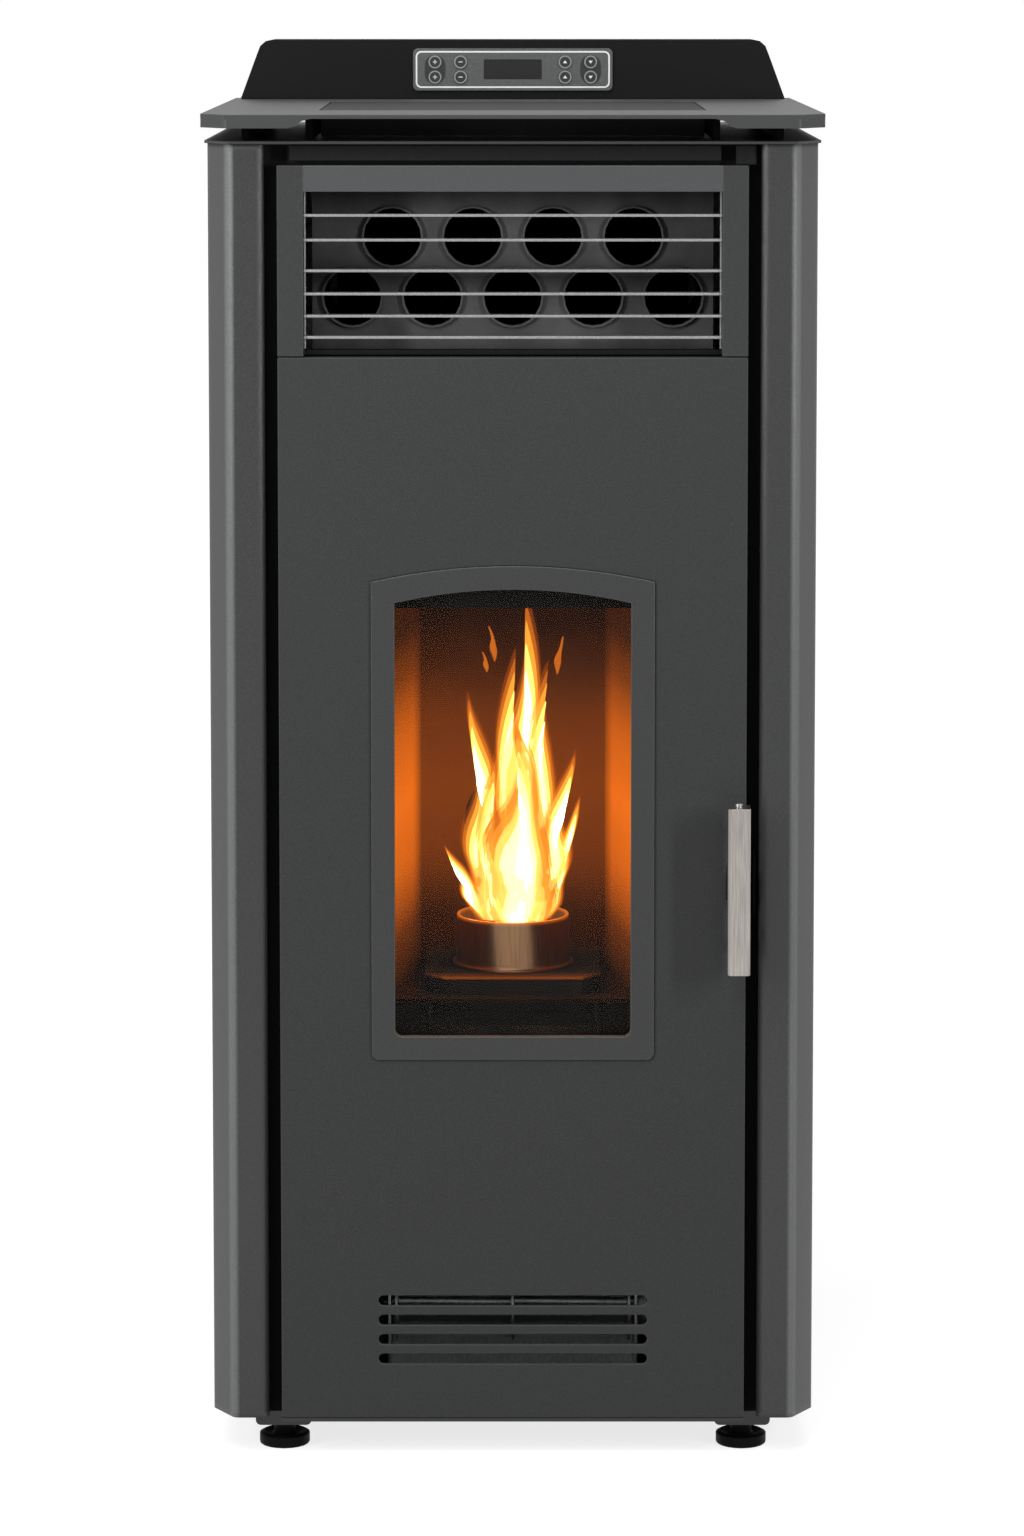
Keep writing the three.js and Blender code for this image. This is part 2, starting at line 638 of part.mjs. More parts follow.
// ---------- top slab ----------
// Slab with folded edges; the front edge is folded only near its corners.
function topSlab() {
  const chamferDepth = COLUMN_CHAMFER_DEPTH;
  const bend = SLAB_HALF - SLAB_CHAMFER;
  const chamfer = SLAB_FRONT + chamferDepth;
  const plan = outline([
    [-bend, SLAB_FRONT],
    [bend, SLAB_FRONT],
    [SLAB_HALF, chamfer],
    [SLAB_HALF, BODY_DEPTH],
    [-SLAB_HALF, BODY_DEPTH],
    [-SLAB_HALF, chamfer],
  ]);
  const sheet = extrude(plan, 'z', SLAB_UNDER, SLAB_TOP);
  const opening = block(
    [-LID_HALF - LID_GAP, LID_HALF + LID_GAP],
    [LID_FRONT - LID_GAP * 2, LID_REAR_EDGE],
    [SLAB_UNDER - 1, SLAB_TOP + 1],
  );
  const lips = [slabLip(), mirroredX(slabLip())];
  const lugs = [-1, 1].map((side) => lidLug(side));
  const pin = rod(LID_PIN + SEAT_GAP, 'x', -LID_HALF, LID_HALF, [LID_BACK, SLAB_TOP - LID_BEAD], SMALL_STEPS);
  return cut(join(cut(sheet, opening), ...lips, ...lugs), pin);
}

// Folded lip: from its curved end on the front edge, round the corner and along the side.
function slabLip() {
  const bend = SLAB_HALF - SLAB_CHAMFER;
  const chamfer = SLAB_FRONT + COLUMN_CHAMFER_DEPTH;
  const bottom = SLAB_TOP - SLAB_LIP;
  const path = [
    [LIP_END - LIP_CURVE, SLAB_FRONT],
    [bend, SLAB_FRONT],
    [SLAB_HALF, chamfer],
    [SLAB_HALF, BODY_DEPTH],
  ];
  const fold = extrude(foldedSheet(path, PLATE, PLATE + 0.5, 1), 'z', bottom, SLAB_UNDER + 1);
  const end = new THREE.Shape();
  end.moveTo(LIP_END - LIP_CURVE * 2, bottom - 1);
  end.lineTo(LIP_END + LIP_CURVE, bottom - 1);
  end.lineTo(LIP_END + LIP_CURVE, bottom);
  end.bezierCurveTo(LIP_END, bottom, LIP_END + 2, SLAB_UNDER, LIP_END - LIP_CURVE, SLAB_UNDER);
  end.lineTo(LIP_END - LIP_CURVE * 2, SLAB_UNDER);
  return cut(fold, extrude(end, 'y', SLAB_FRONT - 1, SLAB_FRONT + PLATE + 1));
}

// Lug at a rear corner of the lid's opening; it carries one end of the lid's pin.
function lidLug(side) {
  const xs = onSide(side, LID_HALF - LID_NOTCH + 2, LID_HALF - 2);
  return block(xs, [LID_BACK - LID_BEAD, LID_REAR_EDGE + 4], [SLAB_TOP - LID_BEAD * 2, SLAB_TOP]);
}

// Inverted channel between the body and the slab.
function slabSpacer() {
  const [bottom, top] = [TOP_PLATE_TOP + SEAT_GAP, SLAB_UNDER - SEAT_GAP];
  const ys = [COLUMN_CHAMFER_DEPTH, BODY_DEPTH - COLUMN_CHAMFER_DEPTH];
  const whole = block([SPACER_INNER, SPACER_OUTER + SPACER_LEG], ys, [bottom, top]);
  const hollow = block(
    [SPACER_INNER + SPACER_LEG, SPACER_OUTER],
    [ys[0] - 1, ys[1] + 1],
    [bottom - 1, top - SHEET],
  );
  return cut(whole, hollow);
}

// Flush lid with folded edges in front and at the sides and a rolled bead round its pin at the back.
function hopperLid() {
  const bottom = TOP_PLATE_TOP + SEAT_GAP;
  const axis = [LID_BACK, SLAB_TOP - LID_BEAD];
  const sheet = block([-LID_HALF, LID_HALF], [LID_FRONT, LID_BACK], [SLAB_UNDER, SLAB_TOP]);
  const bead = rod(LID_BEAD, 'x', -LID_HALF, LID_HALF, axis, SMALL_STEPS);
  const edgeBack = LID_BACK - LID_NOTCH;
  const pan = block([-LID_HALF, LID_HALF], [LID_FRONT, edgeBack], [bottom, SLAB_UNDER + 1]);
  const inside = block(
    [-LID_HALF + SHEET, LID_HALF - SHEET],
    [LID_FRONT + SHEET, edgeBack + 1],
    [bottom - 1, SLAB_UNDER],
  );
  const notches = [-1, 1].map((side) => {
    const xs = onSide(side, LID_HALF - LID_NOTCH, LID_HALF + 1);
    return block(xs, [LID_BACK - LID_NOTCH / 2, LID_REAR_EDGE], [SLAB_TOP - LID_BEAD * 3, SLAB_TOP + 1]);
  });
  const bore = rod(LID_PIN + PIN_CLEARANCE, 'x', -LID_HALF - 1, LID_HALF + 1, axis, SMALL_STEPS);
  return cut(join(sheet, bead, cut(pan, inside)), ...notches, bore);
}

function lidPin() {
  const end = LID_HALF - 2 - SEAT_GAP;
  return rod(LID_PIN, 'x', -end, end, [LID_BACK, SLAB_TOP - LID_BEAD], SMALL_STEPS);
}

// ---------- door ----------
// The window's arched outline, grown all round.
function windowShape(grow) {
  const half = WINDOW_HALF + grow;
  const bottom = WINDOW_BOTTOM - grow;
  const shoulder = WINDOW_SHOULDER + grow * 0.9;
  const crown = WINDOW_CROWN + grow;
  const rise = crown - shoulder;
  const radius = (half * half + rise * rise) / (2 * rise);
  const reach = Math.asin(half / radius);
  const shape = new THREE.Shape();
  shape.moveTo(-half + WINDOW_CORNER, bottom);
  shape.lineTo(half - WINDOW_CORNER, bottom);
  shape.absarc(half - WINDOW_CORNER, bottom + WINDOW_CORNER, WINDOW_CORNER, -Math.PI / 2, 0, false);
  shape.lineTo(half, shoulder);
  shape.absarc(0, crown - radius, radius, Math.PI / 2 - reach, Math.PI / 2 + reach, false);
  shape.lineTo(-half, bottom + WINDOW_CORNER);
  shape.absarc(-half + WINDOW_CORNER, bottom + WINDOW_CORNER, WINDOW_CORNER, Math.PI, Math.PI * 1.5, false);
  return shape;
}

function windowPlate(grow, front, back) {
  return extrude(windowShape(grow), 'y', front, back, ARCH_STEPS);
}

function windowRing(outer, inner, front, back) {
  return cut(windowPlate(outer, front, back), windowPlate(inner, front - 1, back + 1));
}

// Door: a folded pan with the window, four air slots, notches at the hinges and the latch, and
// the hinge knuckles and handle lugs welded on.
function doorPanel() {
  const face = roundedRect(-DOOR_HALF, DOOR_HALF, DOOR_BOTTOM, DOOR_TOP, DOOR_CORNER);
  const pan = extrude(face, 'y', 0, DOOR_EDGE);
  const inside = block(
    [-DOOR_HALF + DOOR_EDGE_SHEET, DOOR_HALF - DOOR_EDGE_SHEET],
    [PLATE, DOOR_EDGE + 1],
    [DOOR_BOTTOM + DOOR_EDGE_SHEET, DOOR_TOP - DOOR_EDGE_SHEET],
  );
  const opening = windowPlate(WINDOW_BORDER + SEAT_GAP, -1, PLATE + 1);
  const slots = Array.from({ length: SLOT_COUNT }, (_, index) => {
    const level = SLOT_FIRST + index * SLOT_PITCH;
    const half = SLOT_HEIGHT / 2;
    const slot = roundedRect(-SLOT_HALF, SLOT_HALF, level - half, level + half, half - 0.1);
    return extrude(slot, 'y', -1, PLATE + 1);
  });
  const hingeNotches = HINGE_LEVELS.map((level) =>
    block(
      [-DOOR_HALF - 1, -DOOR_HALF + DOOR_EDGE_SHEET + 0.5],
      [PLATE, DOOR_EDGE + 1],
      [level - HINGE_LEAF, level + HINGE_LEAF * 2],
    ),
  );
  const latch = block(
    [CATCH_NOTCH, DOOR_HALF + 1],
    [-1, DOOR_EDGE + 1],
    [HANDLE_MIDDLE - HOOK_HEIGHT / 2 - OPEN_GAP, HANDLE_MIDDLE + HOOK_HEIGHT / 2 + OPEN_GAP],
  );
  const door = cut(pan, inside, opening, ...slots, ...hingeNotches, latch);
  const knuckles = HINGE_LEVELS.map((level) => hingeKnuckle(level));
  return join(door, ...knuckles, ...handleLugs());
}

// Block inside the door with the bore that turns on the hinge pin.
function hingeKnuckle(level) {
  const bottom = level + HINGE_LEAF + OPEN_GAP;
  const top = bottom + KNUCKLE_HEIGHT;
  const body = block([-DOOR_HALF + 1, HINGE_X + 6], [PLATE - 1, HINGE_Y + 4], [bottom, top]);
  const bore = rod(HINGE_PIN + PIN_CLEARANCE, 'z', bottom - 1, top + 1, [HINGE_X, HINGE_Y], SMALL_STEPS);
  return cut(body, bore);
}

// Leaf fixed to the front frame, with its pin standing up into the door's knuckle.
function doorHinge(level) {
  const top = level + HINGE_LEAF;
  const xs = [HINGE_X - HINGE_PIN - 0.5, HINGE_X + HINGE_PIN + 2];
  const back = FRAME_FRONT - SEAT_GAP;
  const leaf = block(xs, [HINGE_Y - HINGE_PIN - 1, back], [level, top]);
  const foot = block(xs, [back - HINGE_LEAF / 2, back], [level - KNUCKLE_HEIGHT, top]);
  const pin = rod(HINGE_PIN, 'z', level + 1, top + OPEN_GAP + KNUCKLE_HEIGHT, [HINGE_X, HINGE_Y], SMALL_STEPS);
  return join(leaf, foot, pin);
}

function windowGlass() {
  const front = WINDOW_FLANGE + SEAT_GAP;
  return windowPlate(GLASS_LAP, front, front + GLASS_THICK);
}

// Proud ring in the door's opening with a wider rim behind the door face.
function windowFrame() {
  const ring = windowRing(WINDOW_BORDER, 0, -WINDOW_PROUD, WINDOW_FLANGE);
  const rim = windowRing(WINDOW_BORDER + WINDOW_FLANGE, 0, PLATE + SEAT_GAP, WINDOW_FLANGE);
  return join(ring, rim);
}

function glassRetainer() {
  const front = WINDOW_FLANGE + GLASS_THICK + SEAT_GAP * 2;
  return windowRing(RETAINER_LAP + SEAL_WIDTH, 4, front, front + RETAINER_SHEET);
}

// Rope seal between the retainer and the front frame.
function doorSeal() {
  const front = WINDOW_FLANGE + GLASS_THICK + RETAINER_SHEET + SEAT_GAP * 3;
  return windowRing(RETAINER_LAP + SEAL_WIDTH, RETAINER_LAP, front, FRAME_FRONT - SEAT_GAP);
}

// ---------- handle and latch ----------
function lugLevels() {
  return [HANDLE_BOTTOM + LUG_INSET, HANDLE_TOP - LUG_INSET - LUG_THICK];
}

// Lugs on the door's face that hold the handle's pin.
function handleLugs() {
  const eye = HANDLE_WIDTH / 2 - HANDLE_WALL - 1;
  const axis = [HANDLE_X, HANDLE_PIN_Y];
  return lugLevels().map((level) => {
    const top = level + LUG_THICK;
    const ring = rod(eye, 'z', level, top, axis, SMALL_STEPS);
    const neck = block([HANDLE_X - eye / 2, HANDLE_X + eye / 2], [HANDLE_PIN_Y, 1], [level, top]);
    return cut(join(ring, neck), rod(HANDLE_PIN + PIN_CLEARANCE, 'z', level - 1, top + 1, axis, SMALL_STEPS));
  });
}

// Handle: a channel open towards the door, closed at its ends; the pin passes through both ends.
function doorHandle() {
  const half = HANDLE_WIDTH / 2;
  const plan = new THREE.Shape();
  plan.moveTo(-half, HANDLE_BACK - HANDLE_PIN_Y);
  plan.lineTo(-half, HANDLE_FRONT - HANDLE_PIN_Y + 2);
  plan.lineTo(-half + 2, HANDLE_FRONT - HANDLE_PIN_Y);
  plan.lineTo(half - 2, HANDLE_FRONT - HANDLE_PIN_Y);
  plan.lineTo(half, HANDLE_FRONT - HANDLE_PIN_Y + 2);
  plan.lineTo(half, HANDLE_BACK - HANDLE_PIN_Y);
  const bar = extrude(plan, 'z', 0, HANDLE_HEIGHT);
  const hollow = block(
    [-half + HANDLE_WALL, half - HANDLE_WALL],
    [HANDLE_FRONT - HANDLE_PIN_Y + HANDLE_WALL, HANDLE_BACK - HANDLE_PIN_Y + 1],
    [HANDLE_WALL, HANDLE_HEIGHT - HANDLE_WALL],
  );
  const bore = rod(HANDLE_PIN + PIN_CLEARANCE, 'z', -1, HANDLE_HEIGHT + 1, [0, 0], SMALL_STEPS);
  return cut(bar, hollow, bore);
}

// Hook keyed to the pin: it passes through the door's notch and its tooth faces the catch.
function latchHook() {
  const tip = HOOK_REACH - HANDLE_PIN_Y;
  const pin = rod(HANDLE_PIN, 'z', -SEAT_GAP, HANDLE_HEIGHT + HANDLE_PIN_PROUD, [0, 0], SMALL_STEPS);
  const low = HANDLE_HEIGHT / 2 - HOOK_HEIGHT / 2;
  const zs = [low, low + HOOK_HEIGHT];
  const arm = block([2, 2 + HOOK_THICK], [-HANDLE_PIN, tip], zs);
  const tooth = block([2, 2 + HOOK_THICK + HOOK_TOOTH], [tip - HOOK_THICK, tip], zs);
  return join(pin, arm, tooth);
}

// Catch welded to the front frame beside the hook.
function catchPlate() {
  const near = HANDLE_X + 2 + HOOK_THICK + HOOK_TOOTH + CATCH_SHORT;
  const back = FRAME_FRONT + 1;
  const zs = [HANDLE_MIDDLE - HOOK_HEIGHT, HANDLE_MIDDLE + HOOK_HEIGHT];
  const lip = block([near, near + SHEET], [HOOK_REACH - HOOK_THICK * 2, back], zs);
  const foot = block([near - HOOK_HEIGHT, near + SHEET], [back - SHEET, back], zs);
  return join(lip, foot);
}

// ---------- warm-air grille ----------
function grilleFrame() {
  const stiles = [-1, 1].map((side) => {
    const [near, far] = onSide(side, GRILLE_OPEN_HALF, DOOR_HALF);
    const whole = block([near, far], [0, GRILLE_DEPTH], [GRILLE_BOTTOM, GRILLE_TOP]);
    const hollow = block(
      [near + GRILLE_SHEET, far - GRILLE_SHEET],
      [GRILLE_SHEET, GRILLE_DEPTH + 1],
      [GRILLE_BOTTOM + GRILLE_SHEET, GRILLE_TOP - GRILLE_SHEET],
    );
    return cut(whole, hollow);
  });
  const railBottom = GRILLE_TOP - GRILLE_RAIL;
  const rail = outline([
    [GRILLE_RAIL_SET, GRILLE_TOP],
    [GRILLE_DEPTH, GRILLE_TOP],
    [GRILLE_DEPTH, GRILLE_TOP - GRILLE_SHEET],
    [GRILLE_SHEET + GRILLE_RAIL_SET, GRILLE_TOP - GRILLE_SHEET],
    [GRILLE_SHEET + GRILLE_RAIL_SET, railBottom],
    [GRILLE_RAIL_SET, railBottom],
  ]);
  const reach = GRILLE_OPEN_HALF + 1;
  const tieYs = [GRILLE_DEPTH - GRILLE_SHEET, GRILLE_DEPTH];
  const tie = block([-reach, reach], tieYs, [GRILLE_BOTTOM, GRILLE_BOTTOM + GRILLE_TIE]);
  return join(extrude(rail, 'x', -reach, reach), tie, ...stiles);
}

// Six thin blades between two end strips that fasten behind the stiles' inner faces.
function louvreBars() {
  const half = GRILLE_OPEN_HALF - SEAT_GAP;
  const ys = [LOUVRE_FRONT, LOUVRE_FRONT + LOUVRE_DEPTH];
  const thin = LOUVRE_THICK / 2;
  const blades = LOUVRE_LEVELS.map((level) => block([-half, half], ys, [level - thin, level + thin]));
  const stripYs = [ys[1] - LOUVRE_STRIP_DEPTH, ys[1]];
  const stripZs = [GRILLE_BOTTOM + GRILLE_TIE + 1, GRILLE_TOP - GRILLE_RAIL];
  const ends = [-1, 1].map((side) => block(onSide(side, half - LOUVRE_STRIP, half), stripYs, stripZs));
  return join(...ends, ...blades);
}

// ---------- heat exchanger ----------
function tubePlaces() {
  const row = (count, level) =>
    Array.from({ length: count }, (_, index) => [(index - (count - 1) / 2) * TUBE_PITCH, level]);
  return [...row(UPPER_TUBES, UPPER_TUBE_LEVEL), ...row(LOWER_TUBES, LOWER_TUBE_LEVEL)];
}

// Welded box that the fire's gas passes through, crossed by open tubes for the room air.
function heatExchanger() {
  const xs = [-EXCHANGER_HALF, EXCHANGER_HALF];
  const ys = [EXCHANGER_FRONT, EXCHANGER_BACK];
  const box = block(xs, ys, [EXCHANGER_BOTTOM, EXCHANGER_TOP]);
  const hollow = block(
    [xs[0] + SHEET, xs[1] - SHEET],
    [ys[0] + SHEET, ys[1] - SHEET],
    [EXCHANGER_BOTTOM + SHEET, EXCHANGER_TOP - SHEET],
  );
  const neck = block(
    [-NECK_HALF, NECK_HALF],
    [ys[0] + NECK_INSET, ys[1] - NECK_INSET],
    [EXCHANGER_BOTTOM - 1, EXCHANGER_BOTTOM + SHEET + 1],
  );
  const tubeFront = ys[0] - TUBE_PROUD;
  const outer = tubePlaces().map((place) =>
    rod(TUBE_RADIUS + TUBE_WALL, 'y', tubeFront, ys[1] - SHEET / 2, place),
  );
  const bores = tubePlaces().map((place) => rod(TUBE_RADIUS, 'y', tubeFront - 1, ys[1] + 1, place));
  return cut(join(cut(box, hollow, neck, ductMouth()), ...outer), ...bores);
}

// ---------- firebox ----------
// Plan outline between the splayed side walls, set in from them and cut at two depths.
function fireboxPlan(inset, front, back) {
  const slope = (FIREBOX_FRONT_HALF - FIREBOX_BACK_HALF) / (FIREBOX_BACK - PLATE - FIREBOX_FRONT);
  const halfAt = (y) => FIREBOX_FRONT_HALF - (y - FIREBOX_FRONT) * slope - inset;
  return outline([
    [-halfAt(front), front],
    [halfAt(front), front],
    [halfAt(back), back],
    [-halfAt(back), back],
  ]);
}

// Steel firebox: splayed sides, a ledge for the pot shelf, the feed port, the air and igniter holes.
function firebox() {
  const outer = extrude(fireboxPlan(-PLATE, FIREBOX_FRONT, FIREBOX_BACK), 'z', FIREBOX_BOTTOM, FIREBOX_TOP);
  const innerBack = FIREBOX_BACK - PLATE;
  const chamber = fireboxPlan(0, FIREBOX_FRONT - 1, innerBack);
  const inner = extrude(chamber, 'z', FIREBOX_BOTTOM + PLATE, FIREBOX_TOP - PLATE);
  const neck = block(
    [-NECK_HALF, NECK_HALF],
    [EXCHANGER_FRONT + NECK_INSET, innerBack - NECK_INSET],
    [FIREBOX_TOP - PLATE - 1, FIREBOX_TOP + 1],
  );
  const ledge = extrude(fireboxPlan(-1, LEDGE_FRONT, innerBack + 1), 'z', LEDGE_TOP - PLATE, LEDGE_TOP);
  const ashHole = rod(ASH_HOLE, 'z', LEDGE_TOP - PLATE - 1, LEDGE_TOP + 1, [0, POT_Y]);
  const lugs = [-1, 1].map((side) => baffleLug(side));
  const through = [innerBack - 1, FIREBOX_BACK + 1];
  const port = rod(PORT_RADIUS, 'y', ...through, [0, PORT_LEVEL]);
  const air = rod(INTAKE_RADIUS - FLUE_WALL, 'y', ...through, [INTAKE_X, INTAKE_Z]);
  const igniterHole = rod(IGNITER_RADIUS + PIN_CLEARANCE, 'y', ...through, [0, IGNITER_Z], SMALL_STEPS);
  return cut(join(cut(outer, inner, neck), cut(ledge, ashHole), ...lugs), port, air, igniterHole);
}

// Small step on a side wall that the baffle rests on.
function baffleLug(side) {
  const xs = onSide(side, FIREBOX_BACK_HALF - LUG_SIZE, FIREBOX_BACK_HALF + LUG_SIZE);
  const back = FIREBOX_BACK - PLATE + 1;
  const top = BAFFLE_LEVEL - SEAT_GAP;
  return block(xs, [back - LUG_SIZE * 5, back], [top - LUG_SIZE, top]);
}

function bafflePlate() {
  const back = FIREBOX_BACK - PLATE - SEAT_GAP;
  return extrude(fireboxPlan(SEAT_GAP, BAFFLE_FRONT, back), 'z', BAFFLE_LEVEL, BAFFLE_LEVEL + PLATE);
}

// Upright strip behind the glass's top edge that turns air down over the glass.
function airWashDeflector() {
  return extrude(fireboxPlan(SEAT_GAP, DEFLECTOR_Y, DEFLECTOR_Y + SHEET), 'z', DEFLECTOR_BOTTOM, DEFLECTOR_TOP);
}

// Folded tray with cut-off front corners and a hole for the pot's cup.
function potShelf() {
  const back = FIREBOX_BACK - PLATE - SEAT_GAP;
  const shape = (inset) =>
    outline([
      [-SHELF_FRONT_HALF + inset / 2, SHELF_FRONT + inset],
      [SHELF_FRONT_HALF - inset / 2, SHELF_FRONT + inset],
      [SHELF_HALF - inset, SHELF_FRONT + SHELF_CHAMFER + inset / 2],
      [SHELF_HALF - inset, back - inset],
      [-SHELF_HALF + inset, back - inset],
      [-SHELF_HALF + inset, SHELF_FRONT + SHELF_CHAMFER + inset / 2],
    ]);
  const whole = extrude(shape(0), 'z', LEDGE_TOP + SEAT_GAP, SHELF_TOP);
  const under = extrude(shape(PLATE), 'z', LEDGE_TOP - 1, SHELF_TOP - PLATE);
  const hole = rod(CUP_RADIUS + PIN_CLEARANCE * 2, 'z', LEDGE_TOP, SHELF_TOP + 1, [0, POT_Y]);
  const bore = IGNITER_RADIUS + PIN_CLEARANCE;
  const igniterHole = rod(bore, 'y', back - PLATE - 1, back + 1, [0, IGNITER_Z], SMALL_STEPS);
  return cut(whole, under, hole, igniterHole);
}

// Burn pot: a cup through the shelf, a foot flange on it and a straight rim, open at the top.
function burnPot() {
  const cupInner = CUP_RADIUS - POT_WALL;
  const inner = POT_RADIUS - POT_WALL;
  const pot = turned([
    [0, -CUP_DEPTH],
    [CUP_RADIUS, -CUP_DEPTH],
    [CUP_RADIUS, 0],
    [POT_FLANGE, 0],
    [POT_FLANGE, 1.5],
    [POT_RADIUS + 1.2, 2.2],
    [POT_RADIUS, 4.5],
    [POT_RADIUS, POT_HEIGHT],
    [inner, POT_HEIGHT],
    [inner, 3],
    [cupInner, 2],
    [cupInner, -CUP_DEPTH + POT_WALL],
    [0, -CUP_DEPTH + POT_WALL],
  ], 32);
  const half = GRATE_SLOT / 2;
  const grate = [-2, -1, 0, 1, 2].map((place) => {
    const x = place * GRATE_PITCH;
    return block([x - half, x + half], [-GRATE_REACH, GRATE_REACH], [-CUP_DEPTH - 1, 0]);
  });
  return cut(pot, ...grate);
}

// Open tray under the ledge, with rounded front corners.
function ashPan() {
  const back = FIREBOX_BACK - PLATE * 3;
  const shape = (inset) => {
    const half = ASH_HALF - inset;
    return roundedRect(-half, half, ASH_FRONT + inset, back - inset, ASH_CORNER - inset);
  };
  const bottom = FIREBOX_BOTTOM + PLATE + SEAT_GAP;
  return cut(extrude(shape(0), 'z', bottom, ASH_TOP), extrude(shape(SHEET), 'z', bottom + SHEET, ASH_TOP + 1));
}

function igniter() {
  const front = POT_Y + CUP_RADIUS + 1;
  const axis = [0, IGNITER_Z];
  const body = rod(IGNITER_RADIUS, 'y', front, front + IGNITER_LENGTH, axis, SMALL_STEPS);
  const collar = rod(IGNITER_COLLAR, 'y', FIREBOX_BACK + SEAT_GAP, FIREBOX_BACK + 8, axis, SMALL_STEPS);
  return join(body, collar);
}

// ---------- feed ----------
// Hopper: straight above, sloped from all sides to a throat over the auger, open at both ends.
function hopper() {
  const top = TOP_PLATE_Z - SEAT_GAP;
  const funnel = (inset, low, high) => {
    const fromSide = outline([
      [HOPPER_FRONT + inset, high],
      [HOPPER_FRONT + inset, HOPPER_BEND],
      [THROAT_Y - THROAT_HALF + inset, THROAT_BEND],
      [THROAT_Y - THROAT_HALF + inset, low],
      [THROAT_Y + THROAT_HALF - inset, low],
      [THROAT_Y + THROAT_HALF - inset, THROAT_BEND],
      [HOPPER_BACK - inset, HOPPER_BEND],
      [HOPPER_BACK - inset, high],
    ]);
    const fromFront = outline([
      [-HOPPER_HALF + inset, high],
      [-HOPPER_HALF + inset, HOPPER_BEND],
      [-THROAT_HALF + inset, THROAT_BEND],
      [-THROAT_HALF + inset, low],
      [THROAT_HALF - inset, low],
      [THROAT_HALF - inset, THROAT_BEND],
      [HOPPER_HALF - inset, HOPPER_BEND],
      [HOPPER_HALF - inset, high],
    ]);
    const deep = extrude(fromSide, 'x', -HOPPER_HALF + inset, HOPPER_HALF - inset);
    return deep.intersect(extrude(fromFront, 'y', HOPPER_FRONT + inset, HOPPER_BACK - inset));
  };
  return cut(funnel(0, THROAT_BOTTOM, top), funnel(SHEET, THROAT_BOTTOM - 1, top + 1));
}

// Turns a solid built up the Z axis so that it lies along the auger.
function alongAuger(solid) {
  return solid.rotate([90 - AUGER_TILT, 0, 0]).translate([0, AUGER_Y, AUGER_Z]);
}

// Sloped tube with the hopper's collar on top and the drop tube down to the firebox's port.
function augerTube() {
  const wall = AUGER_RADIUS - SHEET;
  const tube = alongAuger(rod(AUGER_RADIUS, 'z', 0, AUGER_LENGTH));
  const bore = alongAuger(rod(wall, 'z', SHEET, AUGER_LENGTH - SHEET));
  const shaftHole = alongAuger(rod(SCREW_CORE + PIN_CLEARANCE, 'z', -1, SHEET + 1, [0, 0], SMALL_STEPS));
  const collarTop = THROAT_BOTTOM - SEAT_GAP;
  const square = (half, low, high) => block([-half, half], [THROAT_Y - half, THROAT_Y + half], [low, high]);
  const collar = square(THROAT_HALF, THROAT_AXIS, collarTop);
  const collarHole = square(THROAT_HALF - SHEET, THROAT_AXIS, collarTop + 1);
  const drop = (radius, extra) =>
    rod(radius, 'z', -extra, DROP_LENGTH).rotate([-DROP_TILT, 0, 0]).translate([0, FIREBOX_BACK, PORT_LEVEL]);
  const face = block([-PORT_RADIUS * 2, PORT_RADIUS * 2], [0, FIREBOX_BACK + SEAT_GAP], [0, BODY_TOP]);
  const weldment = join(tube, collar, drop(AUGER_RADIUS, 40));
  return cut(weldment, bore, shaftHole, collarHole, drop(wall, 41), face);
}

// Helical flight from a rectangle stepped round the shaft, closed at both ends.
function screwFlight(from, to) {
  const turns = (to - from) / SCREW_PITCH;
  const count = Math.round(turns * SCREW_STEPS);
  const section = [
    [SCREW_CORE - 1, 0],
    [SCREW_RADIUS, 0],
    [SCREW_RADIUS, FLIGHT_THICK],
    [SCREW_CORE - 1, FLIGHT_THICK],
  ];
  const points = [];
  for (let step = 0; step <= count; step += 1) {
    const angle = (step / SCREW_STEPS) * Math.PI * 2;
    const level = from + (step / SCREW_STEPS) * SCREW_PITCH;
    section.forEach(([radius, lift]) => {
      points.push(radius * Math.cos(angle), radius * Math.sin(angle), level + lift);
    });
  }
  const faces = [0, 1, 2, 0, 2, 3];
  for (let step = 0; step < count; step += 1) {
    for (let side = 0; side < 4; side += 1) {
      const a = step * 4 + side;
      const b = step * 4 + ((side + 1) % 4);
      faces.push(a, a + 4, b, b, a + 4, b + 4);
    }
  }
  const last = count * 4;
  faces.push(last, last + 2, last + 1, last, last + 3, last + 2);
  const geometry = new THREE.BufferGeometry();
  geometry.setAttribute('position', new THREE.Float32BufferAttribute(points, 3));
  geometry.setIndex(faces);
  return solidOf(geometry);
}

function augerScrew() {
  const shaft = rod(SCREW_CORE, 'z', -MOTOR_SOCKET + 1, AUGER_LENGTH - SHEET - 1, [0, 0], SMALL_STEPS);
  return join(shaft, screwFlight(SHEET + 2, AUGER_LENGTH - SHEET * 2 - FLIGHT_THICK));
}

// Gear motor under the auger's lower end, with a socket for the shaft.
function augerMotor() {
  const half = MOTOR_SIZE / 2;
  const gearbox = block([-half, half], [-half, half], [-MOTOR_SOCKET - 4, -SEAT_GAP]);
  const can = rod(half - 6, 'z', -MOTOR_LENGTH, -MOTOR_SOCKET - 3);
  return cut(join(gearbox, can), rod(SCREW_CORE + PIN_CLEARANCE, 'z', -MOTOR_SOCKET, 1, [0, 0], SMALL_STEPS));
}

